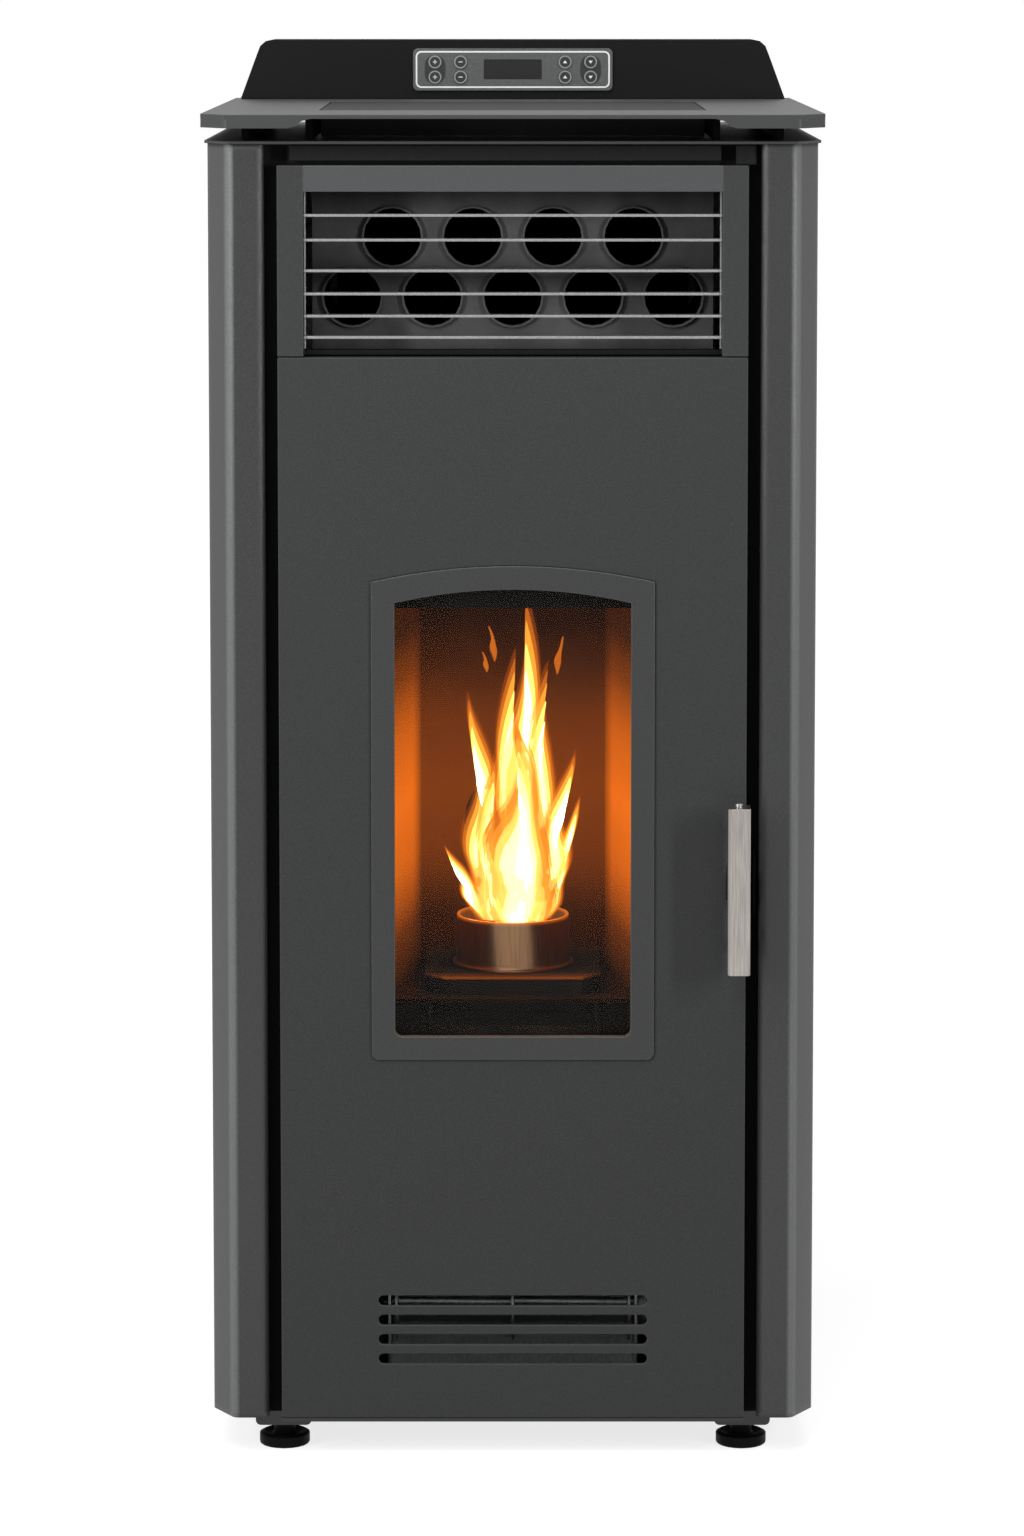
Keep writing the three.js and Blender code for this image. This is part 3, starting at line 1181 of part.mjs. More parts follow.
// ---------- fans and air ----------
// Smoke duct from the exchanger down behind the firebox to the exhaust fan's eye.
function smokeDuct() {
  const xs = [DUCT_INNER - DUCT_WIDTH, DUCT_INNER];
  const ys = [EXCHANGER_BACK - DUCT_WIDTH, EXHAUST_Y + 30];
  const zs = [EXHAUST_Z - 35, DUCT_MOUTH_Z + DUCT_MOUTH + 6];
  const hollow = block(...[xs, ys, zs].map(([low, high]) => [low + SHEET, high - SHEET]));
  const exit = rod(FAN_EYE, 'x', xs[1] - SHEET - 1, xs[1] + 1, [EXHAUST_Y, EXHAUST_Z]);
  return cut(block(xs, ys, zs), hollow, ductMouth(), exit);
}

// The opening between the exchanger's side and the smoke duct.
function ductMouth() {
  const back = EXCHANGER_BACK - DUCT_INSET;
  const xs = [DUCT_INNER - SHEET - 1, -EXCHANGER_HALF + SHEET + 1];
  return block(xs, [back - DUCT_MOUTH, back], [DUCT_MOUTH_Z, DUCT_MOUTH_Z + DUCT_MOUTH]);
}

// Scroll with its outlet to the rear, standing on a foot; its motor is flanged to the inner side.
function exhaustHousing() {
  const xs = [EXHAUST_X - EXHAUST_WIDTH / 2, EXHAUST_X + EXHAUST_WIDTH / 2];
  const centre = [EXHAUST_Y, EXHAUST_Z];
  const end = FLUE_START - SEAT_GAP;
  const throat = (half) => [FLUE_LEVEL - half, FLUE_LEVEL + half];
  const drum = rod(EXHAUST_RADIUS, 'x', ...xs, centre);
  const outlet = block(xs, [EXHAUST_Y, end], throat(FLUE_RADIUS - 5));
  const flange = rod(FLUE_RADIUS + 4, 'y', end - PLATE, end, [EXHAUST_X, FLUE_LEVEL]);
  const footTop = EXHAUST_Z - EXHAUST_RADIUS + 8;
  const foot = block(xs, [EXHAUST_Y - FAN_FOOT, EXHAUST_Y + FAN_FOOT], [BASE_TOP + SEAT_GAP, footTop]);
  const motor = rod(MOTOR_RADIUS, 'x', xs[1] - 1, xs[1] + FAN_MOTOR_LENGTH, centre);
  const cavity = rod(EXHAUST_RADIUS - SHEET, 'x', xs[0] + SHEET, xs[1] - SHEET, centre);
  const way = block([xs[0] + SHEET, xs[1] - SHEET], [EXHAUST_Y, end + 1], throat(FLUE_RADIUS - 5 - SHEET));
  const eye = rod(FAN_EYE, 'x', xs[0] - 1, xs[0] + SHEET + 1, centre);
  const bore = SHAFT_RADIUS + PIN_CLEARANCE;
  const shaft = rod(bore, 'x', xs[1] - SHEET - 1, xs[1] + FAN_BEARING, centre, SMALL_STEPS);
  return cut(join(drum, outlet, flange, foot, motor), cavity, way, eye, shaft);
}

// Back plate with radial blades on a shaft, built along X about the shaft's axis.
function exhaustImpeller() {
  const plate = rod(IMPELLER_RADIUS, 'x', 0, SHEET);
  const hub = rod(IMPELLER_HUB, 'x', -IMPELLER_WIDTH / 2, SHEET + 1, [0, 0], SMALL_STEPS);
  const shaft = rod(SHAFT_RADIUS, 'x', 0, IMPELLER_SHAFT, [0, 0], SMALL_STEPS);
  const thin = BLADE_THICK / 2;
  const blade = [[-IMPELLER_WIDTH, 1], [IMPELLER_EYE, IMPELLER_RADIUS - 1], [-thin, thin]];
  const blades = Array.from({ length: BLADE_COUNT }, (_, index) =>
    block(...blade).rotate([(index * 360) / BLADE_COUNT, 0, 0]),
  );
  return join(plate, hub, shaft, ...blades);
}

function flueOutlet() {
  const centre = [EXHAUST_X, FLUE_LEVEL];
  const tube = rod(FLUE_RADIUS, 'y', FLUE_START, FLUE_END, centre);
  return cut(tube, rod(FLUE_RADIUS - FLUE_WALL, 'y', FLUE_START - 1, FLUE_END + 1, centre));
}

function airIntake() {
  const centre = [INTAKE_X, INTAKE_Z];
  return pipe(INTAKE_RADIUS, INTAKE_RADIUS - FLUE_WALL, 'y', FIREBOX_BACK + SEAT_GAP, INTAKE_END, centre);
}

// Cross-flow fan behind the door's slots: an open-topped trough, end plates and a motor.
function roomFanHousing() {
  const xs = [-ROOM_FAN_HALF, ROOM_FAN_HALF];
  const centre = [ROOM_FAN_Y, ROOM_FAN_Z];
  const room = ROLLER_RADIUS + ROLLER_ROOM;
  const bottom = BASE_TOP + SEAT_GAP;
  const [front, back] = [ROOM_FAN_Y - room - SHEET, ROOM_FAN_Y + room + SHEET];
  const whole = block(xs, [front, back], [bottom, ROOM_FAN_Z + room]);
  const hollow = block(
    [xs[0] + SHEET, xs[1] - SHEET],
    [front - 1, back - SHEET],
    [bottom + SHEET, ROOM_FAN_Z + room + 1],
  );
  const sill = block(xs, [front, front + SHEET], [bottom, bottom + TROUGH_SILL]);
  const motor = rod(ROLLER_RADIUS - SHAFT_RADIUS, 'x', xs[1] - 1, xs[1] + FAN_MOTOR_LENGTH, centre);
  const boreEnd = xs[1] + ROLLER_SHAFT_END + SHAFT_RADIUS;
  const bearing = rod(SHAFT_RADIUS + PIN_CLEARANCE, 'x', xs[0] - 1, boreEnd, centre, SMALL_STEPS);
  return cut(join(cut(whole, hollow), sill, motor), bearing);
}

// Roller: end discs, a middle disc and blades parallel to the shaft.
function roomFanRoller() {
  const half = ROOM_FAN_HALF - SHEET - 3;
  const discs = [-half, -1, half - SHEET].map((x) => rod(ROLLER_RADIUS, 'x', x, x + SHEET));
  const shaftEnds = [-ROOM_FAN_HALF - 4, ROOM_FAN_HALF + ROLLER_SHAFT_END];
  const shaft = rod(SHAFT_RADIUS, 'x', ...shaftEnds, [0, 0], SMALL_STEPS);
  const outer = ROLLER_RADIUS - 1;
  const blade = [[-half, half], [outer - ROLLER_BLADE, outer], [-BLADE_THICK * 0.4, BLADE_THICK * 0.4]];
  const blades = Array.from({ length: ROLLER_BLADES }, (_, index) =>
    block(...blade).rotate([(index * 360) / ROLLER_BLADES, 0, 0]),
  );
  return join(shaft, ...discs, ...blades);
}

// ---------- console ----------
// The console's pieces are built about its middle, with Y = 0 its front face and Z = 0 its foot.
function consoleShape(inset) {
  const [base, top, height] = [CONSOLE_BASE_HALF - inset, CONSOLE_TOP_HALF - inset, CONSOLE_HEIGHT - inset];
  const corner = CONSOLE_CORNER - inset;
  const shape = new THREE.Shape();
  shape.moveTo(-base, inset ? -1 : 0);
  shape.lineTo(base, inset ? -1 : 0);
  shape.lineTo(top + 1.5, height - corner);
  shape.quadraticCurveTo(top - 1, height, top - corner, height);
  shape.lineTo(-top + corner, height);
  shape.quadraticCurveTo(-top + 1, height, -top - 1.5, height - corner);
  return shape;
}

// Panel outline about its own middle, shrunk all round.
function panelShape(inset) {
  const half = PANEL_HALF - inset;
  const tall = PANEL_HEIGHT / 2 - inset;
  return roundedRect(-half, half, PANEL_MIDDLE - tall, PANEL_MIDDLE + tall, Math.max(PANEL_CORNER - inset, 1));
}

// Folded cover open underneath and at the back, with a cut-out behind the control plate.
function consoleHousing() {
  const shell = extrude(consoleShape(0), 'y', 0, CONSOLE_DEPTH - SHEET - SEAT_GAP);
  const hollow = extrude(consoleShape(SHEET), 'y', SHEET, CONSOLE_DEPTH + 1);
  return cut(shell, hollow, extrude(panelShape(3), 'y', -1, SHEET + 1));
}

function consoleBack() {
  return extrude(consoleShape(0), 'y', CONSOLE_DEPTH - SHEET, CONSOLE_DEPTH);
}

function buttonPlaces() {
  const rows = [PANEL_MIDDLE + BUTTON_ROW, PANEL_MIDDLE - BUTTON_ROW];
  return rows.flatMap((level) => BUTTON_COLUMNS.map((x) => [x, level]));
}

function displayShape(grow) {
  const [half, tall] = [DISPLAY_HALF + grow, DISPLAY_HEIGHT / 2 + grow];
  return roundedRect(-half, half, PANEL_MIDDLE - tall, PANEL_MIDDLE + tall, 1);
}

// Control plate with holes for the buttons and the display.
function controlPlate() {
  const plate = extrude(panelShape(0), 'y', -PANEL_THICK, -SEAT_GAP);
  const bore = BUTTON_RADIUS + PIN_CLEARANCE;
  const holes = buttonPlaces().map((place) => rod(bore, 'y', -PANEL_THICK - 1, 1, place, SMALL_STEPS));
  return cut(plate, extrude(displayShape(SEAT_GAP), 'y', -PANEL_THICK - 1, 1), ...holes);
}

// Display window with a rim behind the plate.
function displayLens() {
  const front = extrude(displayShape(0), 'y', -PANEL_THICK + 0.4, 1);
  return join(front, extrude(displayShape(1.5), 'y', 0, BOARD_FRONT - SEAT_GAP));
}

// Button: a round cap through the plate, with a shoulder behind it; Z runs out of the front.
function panelButton() {
  const stem = BUTTON_RADIUS - 2;
  const rim = BUTTON_RADIUS + BUTTON_SHOULDER;
  const rimBack = SEAT_GAP - BUTTON_SHOULDER_THICK;
  const top = PANEL_THICK + BUTTON_PROUD;
  return turned([
    [0, -BUTTON_LENGTH],
    [stem, -BUTTON_LENGTH],
    [stem, rimBack],
    [rim, rimBack],
    [rim, SEAT_GAP],
    [BUTTON_RADIUS, SEAT_GAP],
    [BUTTON_RADIUS, top - 0.5],
    [BUTTON_RADIUS - 0.5, top],
    [0, top],
  ], SMALL_STEPS);
}

function controlBoard() {
  const half = PANEL_HALF - BOARD_INSET;
  const zs = [PANEL_MIDDLE - BOARD_HALF_HEIGHT, PANEL_MIDDLE + BOARD_HALF_HEIGHT];
  const board = block([-half, half], [BOARD_FRONT, BOARD_FRONT + BOARD_THICK], zs);
  const postZs = [PANEL_MIDDLE - BOARD_POST / 2, PANEL_MIDDLE + BOARD_POST / 2];
  const posts = [-1, 1].map((side) =>
    block(onSide(side, half - BOARD_POST, half), [SEAT_GAP, BOARD_FRONT + 1], postZs),
  );
  return join(board, ...posts);
}

// ---------- mains inlet ----------
// Inlet body in the rear panel: a recessed socket on one side and the switch's well on the other.
function powerInlet() {
  const half = INLET_HALF;
  const tall = INLET_HEIGHT / 2;
  const face = SHEET * 2;
  const rim = INLET_FLANGE;
  const body = block([-half, half], [-INLET_DEPTH, face], [-tall, tall]);
  const flange = block([-half - rim, half + rim], [SHEET + SEAT_GAP, face], [-tall - rim, tall + rim]);
  const recess = roundedRect(-half + rim, 1, -tall + rim + 1, tall - rim - 1, 2);
  const socket = extrude(recess, 'y', -INLET_SOCKET_DEPTH, face + 1);
  const wellHalf = ROCKER_HALF + SEAT_GAP * 2;
  const wellXs = [ROCKER_X - wellHalf, ROCKER_X + wellHalf];
  const well = block(wellXs, [-ROCKER_WELL, face + 1], [-tall + rim, tall - rim]);
  const pins = INLET_PINS.map((x) => block([x - 1, x + 1], [-INLET_SOCKET_DEPTH - 1, -2], [-3, 3]));
  return join(cut(join(body, flange), socket, well), ...pins);
}

// Rocker about its own middle, leaning to its off side at rest.
function powerSwitch() {
  const tall = INLET_HEIGHT / 2 - 4.4;
  const shape = outline([[-5, -tall + 2], [2, -tall], [4, 0], [2, tall], [-5, tall - 2]]);
  return extrude(shape, 'x', -ROCKER_HALF, ROCKER_HALF);
}

// ---------- the stove ----------
function buttons() {
  return buttonPlaces().map(([x, level], index) => {
    const button = piece(`button_${index + 1}`, panelButton(), greyPlastic, [x, 0, level]);
    button.rotation.x = Math.PI / 2;
    return button;
  });
}

function rocker() {
  const mesh = piece('power_switch', powerSwitch(), blackPlastic, [INLET_X + ROCKER_X, REAR_INNER, INLET_Z]);
  mesh.rotation.x = THREE.MathUtils.degToRad(-ROCKER_TILT);
  return mesh;
}

function feet() {
  const names = ['front_left', 'front_right', 'rear_left', 'rear_right'];
  return footPlaces().map((place, index) =>
    piece(`levelling_foot_${names[index]}`, levellingFoot(), blackPlastic, [...place, 0]),
  );
}

function feedGroup() {
  const set = group(
    piece('auger_screw', augerScrew(), darkSteel),
    piece('auger_motor', augerMotor(), zincSteel),
  );
  set.position.set(0, AUGER_Y, AUGER_Z);
  set.rotation.x = THREE.MathUtils.degToRad(90 - AUGER_TILT);
  return set;
}

function consoleGroup() {
  const set = group(
    piece('console_housing', consoleHousing(), blackPaint),
    piece('console_back', consoleBack(), blackPaint),
    piece('control_plate', controlPlate(), greyPlastic),
    piece('display_lens', displayLens(), clearGlass),
    piece('control_board', controlBoard(), boardGreen),
    ...buttons(),
  );
  set.position.set(0, CONSOLE_FRONT, SLAB_TOP + SEAT_GAP);
  return set;
}

function handleGroup() {
  const set = group(
    piece('door_handle', doorHandle(), brushedSteel),
    piece('latch_hook', latchHook(), zincSteel),
  );
  set.position.set(HANDLE_X, HANDLE_PIN_Y, HANDLE_BOTTOM);
  return set;
}

function doorGroup() {
  return group(
    piece('door_panel', doorPanel(), greyPaint),
    piece('window_frame', windowFrame(), greyPaint),
    piece('window_glass', windowGlass(), clearGlass),
    piece('glass_retainer', glassRetainer(), darkSteel),
    piece('door_seal', doorSeal(), rope),
    handleGroup(),
  );
}

function shellGroup() {
  return group(
    piece('base_plate', basePlate(), blackPaint),
    piece('side_panel_right', sidePanel(), greyPaint),
    piece('side_panel_left', mirroredX(sidePanel()), greyPaint),
    piece('rear_panel', rearPanel(), zincSteel),
    piece('body_top_plate', bodyTopPlate(), blackPaint),
    piece('front_frame', frontFrame(), blackPaint),
    piece('grille_frame', grilleFrame(), greyPaint),
    piece('louvre_bars', louvreBars(), greyPaint),
    piece('door_hinge_lower', doorHinge(HINGE_LEVELS[0]), zincSteel),
    piece('door_hinge_upper', doorHinge(HINGE_LEVELS[1]), zincSteel),
    ...feet(),
  );
}

function topGroup() {
  return group(
    piece('top_slab', topSlab(), greyPaint),
    piece('slab_spacer_right', slabSpacer(), blackPaint),
    piece('slab_spacer_left', mirroredX(slabSpacer()), blackPaint),
    piece('hopper_lid', hopperLid(), greyPaint),
    piece('lid_hinge_pin', lidPin(), zincSteel),
  );
}

function fireGroup() {
  return group(
    piece('heat_exchanger', heatExchanger(), darkSteel),
    piece('firebox', firebox(), firebrown),
    piece('baffle_plate', bafflePlate(), darkSteel),
    piece('air_wash_deflector', airWashDeflector(), darkSteel),
    piece('pot_shelf', potShelf(), darkSteel),
    piece('burn_pot', burnPot(), brushedSteel, [0, POT_Y, SHELF_TOP + SEAT_GAP]),
    piece('ash_pan', ashPan(), darkSteel),
    piece('igniter', igniter(), zincSteel),
  );
}

function machineGroup() {
  return group(
    piece('hopper', hopper(), zincSteel),
    piece('auger_tube', augerTube(), darkSteel),
    feedGroup(),
    piece('smoke_duct', smokeDuct(), zincSteel),
    piece('exhaust_fan_housing', exhaustHousing(), zincSteel),
    piece('exhaust_impeller', exhaustImpeller(), zincSteel, [EXHAUST_X + IMPELLER_SHIFT, EXHAUST_Y, EXHAUST_Z]),
    piece('flue_outlet', flueOutlet(), zincSteel),
    piece('air_intake_pipe', airIntake(), zincSteel),
    piece('room_fan_housing', roomFanHousing(), zincSteel),
    piece('room_fan_roller', roomFanRoller(), zincSteel, [0, ROOM_FAN_Y, ROOM_FAN_Z]),
    piece('power_inlet', powerInlet(), blackPlastic, [INLET_X, REAR_INNER, INLET_Z]),
    rocker(),
  );
}

const stove = group(shellGroup(), doorGroup(), topGroup(), consoleGroup(), fireGroup(), machineGroup());
stove.position.y = -(HANDLE_FRONT + FLUE_END) / 2;

export default stove;
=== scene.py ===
"""Pellet stove with an arched window: looks, fire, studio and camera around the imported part."""

import math
import random

import bpy
from mathutils import Matrix, Vector


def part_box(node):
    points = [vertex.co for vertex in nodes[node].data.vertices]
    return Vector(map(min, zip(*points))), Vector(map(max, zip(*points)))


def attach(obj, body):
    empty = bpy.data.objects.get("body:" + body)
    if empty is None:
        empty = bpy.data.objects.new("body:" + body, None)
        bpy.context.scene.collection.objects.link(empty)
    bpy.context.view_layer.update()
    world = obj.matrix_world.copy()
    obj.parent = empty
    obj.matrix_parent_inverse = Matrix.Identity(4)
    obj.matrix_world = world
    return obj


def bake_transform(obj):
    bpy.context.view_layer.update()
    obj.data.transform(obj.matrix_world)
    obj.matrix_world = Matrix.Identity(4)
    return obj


IMAGE_WIDTH, IMAGE_HEIGHT = 1024, 1536
X, Y, Z = 0, 1, 2

# Camera, fitted to the photograph's slab, console, door and foot corners; metres, radians and pixels.
FOCAL_PX = 5142.0
CAMERA_DISTANCE = 3.770
CAMERA_HEIGHT = 1.108
CAMERA_PITCH = math.radians(5.49)
HORIZON_PX = 470.0
CENTRE_PX = 512.8
SENSOR_MM = 36.0
DOOR_FACE_Y = -0.262

# Colours are linear.
COAT = (0.036, 0.0368, 0.0375)
COAT_DARK = (0.008, 0.008, 0.008)
GLOW = (1.0, 0.185, 0.002)
WHITE = (1.0, 1.0, 1.0)

SMOOTH_ANGLE = math.radians(32)
WELD = 0.00001
BEVEL_SAMPLES = 4
GRAIN_DARK, GRAIN_LIGHT = 0.8, 1.22  # a powder coat's grain against its mean colour
# The two below bound the mask of the painted edge highlight.
EDGE_AGREEMENT, FACE_AGREEMENT = 0.93, 0.995  # a face's agreement with its rounded normal, at an edge and off it
MIX_A, MIX_B, MIX_RESULT = 6, 7, 2  # the colour sockets of a Mix node


def links(mat):
    return mat.node_tree.links


def add(mat, kind, **values):
    node = mat.node_tree.nodes.new(kind)
    for name, value in values.items():
        if name in node.inputs:
            node.inputs[name].default_value = value
        else:
            setattr(node, name, value)
    return node


def bsdf_of(mat):
    return mat.node_tree.nodes["Principled BSDF"]


def surface(name, color, rough, metal=0.0, **sockets):
    """A Principled material; extra socket names are written with _ for a space."""
    mat = bpy.data.materials.new(name)
    mat.use_nodes = True
    inputs = bsdf_of(mat).inputs
    inputs["Base Color"].default_value = (*color, 1.0)
    inputs["Roughness"].default_value = rough
    inputs["Metallic"].default_value = metal
    for key, value in sockets.items():
        inputs[key.replace("_", " ")].default_value = value
    return mat


def emits(mat, color, strength=None):
    """Light of one colour; without a strength that socket is left for a link."""
    inputs = bsdf_of(mat).inputs
    inputs["Emission Color"].default_value = (*color, 1.0)
    if strength is not None:
        inputs["Emission Strength"].default_value = strength


def noise(mat, scale, detail=2.0, stretch=(1.0, 1.0, 1.0)):
    """Noise in the object's own metres; a small stretch draws the grain out along that axis."""
    where = add(mat, "ShaderNodeTexCoord")
    mapping = add(mat, "ShaderNodeMapping")
    mapping.inputs["Scale"].default_value = stretch
    tex = add(mat, "ShaderNodeTexNoise", Scale=scale, Detail=detail)
    links(mat).new(where.outputs["Object"], mapping.inputs["Vector"])
    links(mat).new(mapping.outputs["Vector"], tex.inputs["Vector"])
    return tex.outputs["Fac"]


def mottled(mat, fac, dark, light, low=0.35, high=0.65):
    """Base colour between two tones, by a factor."""
    ramp = add(mat, "ShaderNodeValToRGB")
    ramp.color_ramp.elements[0].position = low
    ramp.color_ramp.elements[0].color = (*dark, 1.0)
    ramp.color_ramp.elements[1].position = high
    ramp.color_ramp.elements[1].color = (*light, 1.0)
    links(mat).new(fac, ramp.inputs["Fac"])
    links(mat).new(ramp.outputs["Color"], bsdf_of(mat).inputs["Base Color"])


def rounded(mat, radius, height=None, strength=0.2, depth=0.0002):
    """Softens edges by a radius in metres and lays a fine bump on top."""
    edge = add(mat, "ShaderNodeBevel", samples=BEVEL_SAMPLES, Radius=radius)
    normal = edge.outputs["Normal"]
    if height is not None:
        bump = add(mat, "ShaderNodeBump", Strength=strength, Distance=depth)
        links(mat).new(height, bump.inputs["Height"])
        links(mat).new(normal, bump.inputs["Normal"])
        normal = bump.outputs["Normal"]
    links(mat).new(normal, bsdf_of(mat).inputs["Normal"])


def powder_coat(name, color, rough=0.5, edge=0.0012, gloss=0.3, edge_highlight=1.0):
    """A fine-grained coat, with a painted highlight along its edges: the last number is how much paler it is
    there.
    """
    mat = surface(name, color, rough, Specular_IOR_Level=gloss)
    grain = noise(mat, scale=1400.0, detail=3.0)
    mottled(mat, grain, [c * GRAIN_DARK * edge_highlight for c in color],
            [c * GRAIN_LIGHT * edge_highlight for c in color])
    rounded(mat, edge, grain, strength=0.35, depth=0.00025)
    # Painted highlight: paler within the edge radius than on open faces.
    if edge_highlight > 1.0:
        darkened(mat, ramped(mat, off_edge(mat, edge), [(0.0, 1.0), (1.0, 1.0 / edge_highlight)]))
    return mat


def brushed(name, color, rough, stretch, edge=0.0008):
    """Bare metal whose grain is drawn out along the axis with the small stretch."""
    mat = surface(name, color, rough, 1.0)
    grain = noise(mat, scale=900.0, detail=3.0, stretch=stretch)
    mottled(mat, grain, [c * 0.82 for c in color], [min(1.0, c * 1.12) for c in color])
    rounded(mat, edge, grain, strength=0.12, depth=0.0001)
    return mat


def sooty(name, dark, light, rough=0.75):
    """Dull steel with clouds of soot."""
    mat = surface(name, light, rough, Specular_IOR_Level=0.02)
    cloud = noise(mat, scale=35.0, detail=5.0)
    mottled(mat, cloud, dark, light, low=0.3, high=0.7)
    rounded(mat, 0.0008, noise(mat, scale=900.0), strength=0.3, depth=0.0003)
    return mat


def share_between(mat, value, low, high, held=True):
    """How far a value lies between two others, held to 0-1 or not."""
    share = add(mat, "ShaderNodeMapRange", clamp=held)
    share.inputs["From Min"].default_value = low
    share.inputs["From Max"].default_value = high
    links(mat).new(value, share.inputs["Value"])
    return share.outputs["Result"]


def place_on(mat, axis, low, high, held=True):
    """How far along an axis (X, Y or Z) a point lies between two places, held to 0-1 or not."""
    where = add(mat, "ShaderNodeTexCoord")
    split = add(mat, "ShaderNodeSeparateXYZ")
    links(mat).new(where.outputs["Object"], split.inputs[0])
    return share_between(mat, split.outputs[axis], low, high, held)


def ramped(mat, fac, stops):
    """Grey levels by a factor: stops are (place, level)."""
    ramp = add(mat, "ShaderNodeValToRGB")
    elements = ramp.color_ramp.elements
    while len(elements) < len(stops):
        elements.new(0.5)
    for element, (at, level) in zip(elements, stops):
        element.position = at
        element.color = (level, level, level, 1.0)
    links(mat).new(fac, ramp.inputs["Fac"])
    return ramp.outputs["Color"]


def combined(mat, first, second, operation="MULTIPLY"):
    """Two values multiplied, or put together by another operation."""
    node = add(mat, "ShaderNodeMath", operation=operation)
    links(mat).new(first, node.inputs[0])
    links(mat).new(second, node.inputs[1])
    return node.outputs[0]


def background_rays(tree):
    """1 for rays from the camera and for what metal and glass show, 0 for light on the object."""
    path = tree.nodes.new("ShaderNodeLightPath")
    total = path.outputs["Is Camera Ray"]
    for name in ("Is Transmission Ray", "Is Glossy Ray"):
        higher = tree.nodes.new("ShaderNodeMath")
        higher.operation = "MAXIMUM"
        tree.links.new(total, higher.inputs[0])
        tree.links.new(path.outputs[name], higher.inputs[1])
        total = higher.outputs[0]
    return total


def far_from_middle(mat, near, far):
    """0 near the object and 1 away from it, by the distance along the floor."""
    where = add(mat, "ShaderNodeTexCoord")
    reach = add(mat, "ShaderNodeVectorMath", operation="LENGTH")
    links(mat).new(where.outputs["Object"], reach.inputs[0])
    return share_between(mat, reach.outputs["Value"], near, far)


def facing_point(mat, point):
    """1 on faces that look towards a point in the object's metres, 0 on the others."""
    where = add(mat, "ShaderNodeTexCoord")
    shape = add(mat, "ShaderNodeNewGeometry")
    inward = add(mat, "ShaderNodeVectorMath", operation="SUBTRACT")
    inward.inputs[0].default_value = point
    dot = add(mat, "ShaderNodeVectorMath", operation="DOT_PRODUCT")
    above = add(mat, "ShaderNodeMath", operation="GREATER_THAN")
    above.inputs[1].default_value = 0.0
    links(mat).new(where.outputs["Object"], inward.inputs[1])
    links(mat).new(inward.outputs["Vector"], dot.inputs[0])
    links(mat).new(shape.outputs["True Normal"], dot.inputs[1])
    links(mat).new(dot.outputs["Value"], above.inputs[0])
    return above.outputs[0]


def off_edge(mat, radius):
    """0 within about a radius of an edge and 1 on open faces."""
    edge = add(mat, "ShaderNodeBevel", samples=BEVEL_SAMPLES, Radius=radius)
    shape = add(mat, "ShaderNodeNewGeometry")
    agree = add(mat, "ShaderNodeVectorMath", operation="DOT_PRODUCT")
    links(mat).new(edge.outputs["Normal"], agree.inputs[0])
    links(mat).new(shape.outputs["True Normal"], agree.inputs[1])
    return share_between(mat, agree.outputs["Value"], EDGE_AGREEMENT, FACE_AGREEMENT)


def out_from_middle(mat, near, far):
    """How far out sideways a point lies between two distances from the middle plane."""
    across = add(mat, "ShaderNodeMath", operation="ABSOLUTE")
    links(mat).new(place_on(mat, X, 0.0, 1.0, held=False), across.inputs[0])
    return share_between(mat, across.outputs[0], near, far)


def darkened(mat, *levels):
    """Multiplies the base colour by grey levels from 0 to 1."""
    base = bsdf_of(mat).inputs["Base Color"]
    for level in levels:
        mix = add(mat, "ShaderNodeMix", data_type="RGBA", blend_type="MULTIPLY")
        mix.inputs["Factor"].default_value = 1.0
        links(mat).new(base.links[0].from_socket, mix.inputs[MIX_A])
        links(mat).new(level, mix.inputs[MIX_B])
        links(mat).new(mix.outputs[MIX_RESULT], base)


def glowing(mat, strength):
    """Firelight on a surface, as emission of one colour by a linked strength."""
    emits(mat, GLOW)
    links(mat).new(strength, bsdf_of(mat).inputs["Emission Strength"])


def smoothing():
    """Geometry nodes that weld a node's facets and shade them smooth below an angle."""
    group = bpy.data.node_groups.new("smooth_facets", "GeometryNodeTree")
    group.interface.new_socket("Geometry", in_out="INPUT", socket_type="NodeSocketGeometry")
    group.interface.new_socket("Geometry", in_out="OUTPUT", socket_type="NodeSocketGeometry")
    new, link = group.nodes.new, group.links.new
    source, result = new("NodeGroupInput"), new("NodeGroupOutput")
    plain = new("GeometryNodeRemoveAttribute")
    plain.inputs["Name"].default_value = "custom_normal"
    weld = new("GeometryNodeMergeByDistance")
    weld.inputs["Distance"].default_value = WELD
    smooth = new("GeometryNodeSetShadeSmooth")
    angle = new("GeometryNodeInputMeshEdgeAngle")
    steep = new("FunctionNodeCompare")
    steep.operation = "GREATER_THAN"
    steep.inputs[1].default_value = SMOOTH_ANGLE
    sharp = new("GeometryNodeSetShadeSmooth")
    sharp.domain = "EDGE"
    sharp.inputs["Shade Smooth"].default_value = False
    link(source.outputs[0], plain.inputs["Geometry"])
    link(plain.outputs[0], weld.inputs["Geometry"])
    link(weld.outputs[0], smooth.inputs["Geometry"])
    link(smooth.outputs[0], sharp.inputs["Geometry"])
    link(angle.outputs["Unsigned Angle"], steep.inputs[0])
    link(steep.outputs[0], sharp.inputs["Selection"])
    link(sharp.outputs[0], result.inputs[0])
    return group


def dress(material, *names):
    """Puts one material on CAD nodes, by their names."""
    for name in names:
        nodes[name].data.materials.clear()
        nodes[name].data.materials.append(material)


def placed(name, data):
    """A new object in the scene."""
    obj = bpy.data.objects.new(name, data)
    bpy.context.scene.collection.objects.link(obj)
    return obj


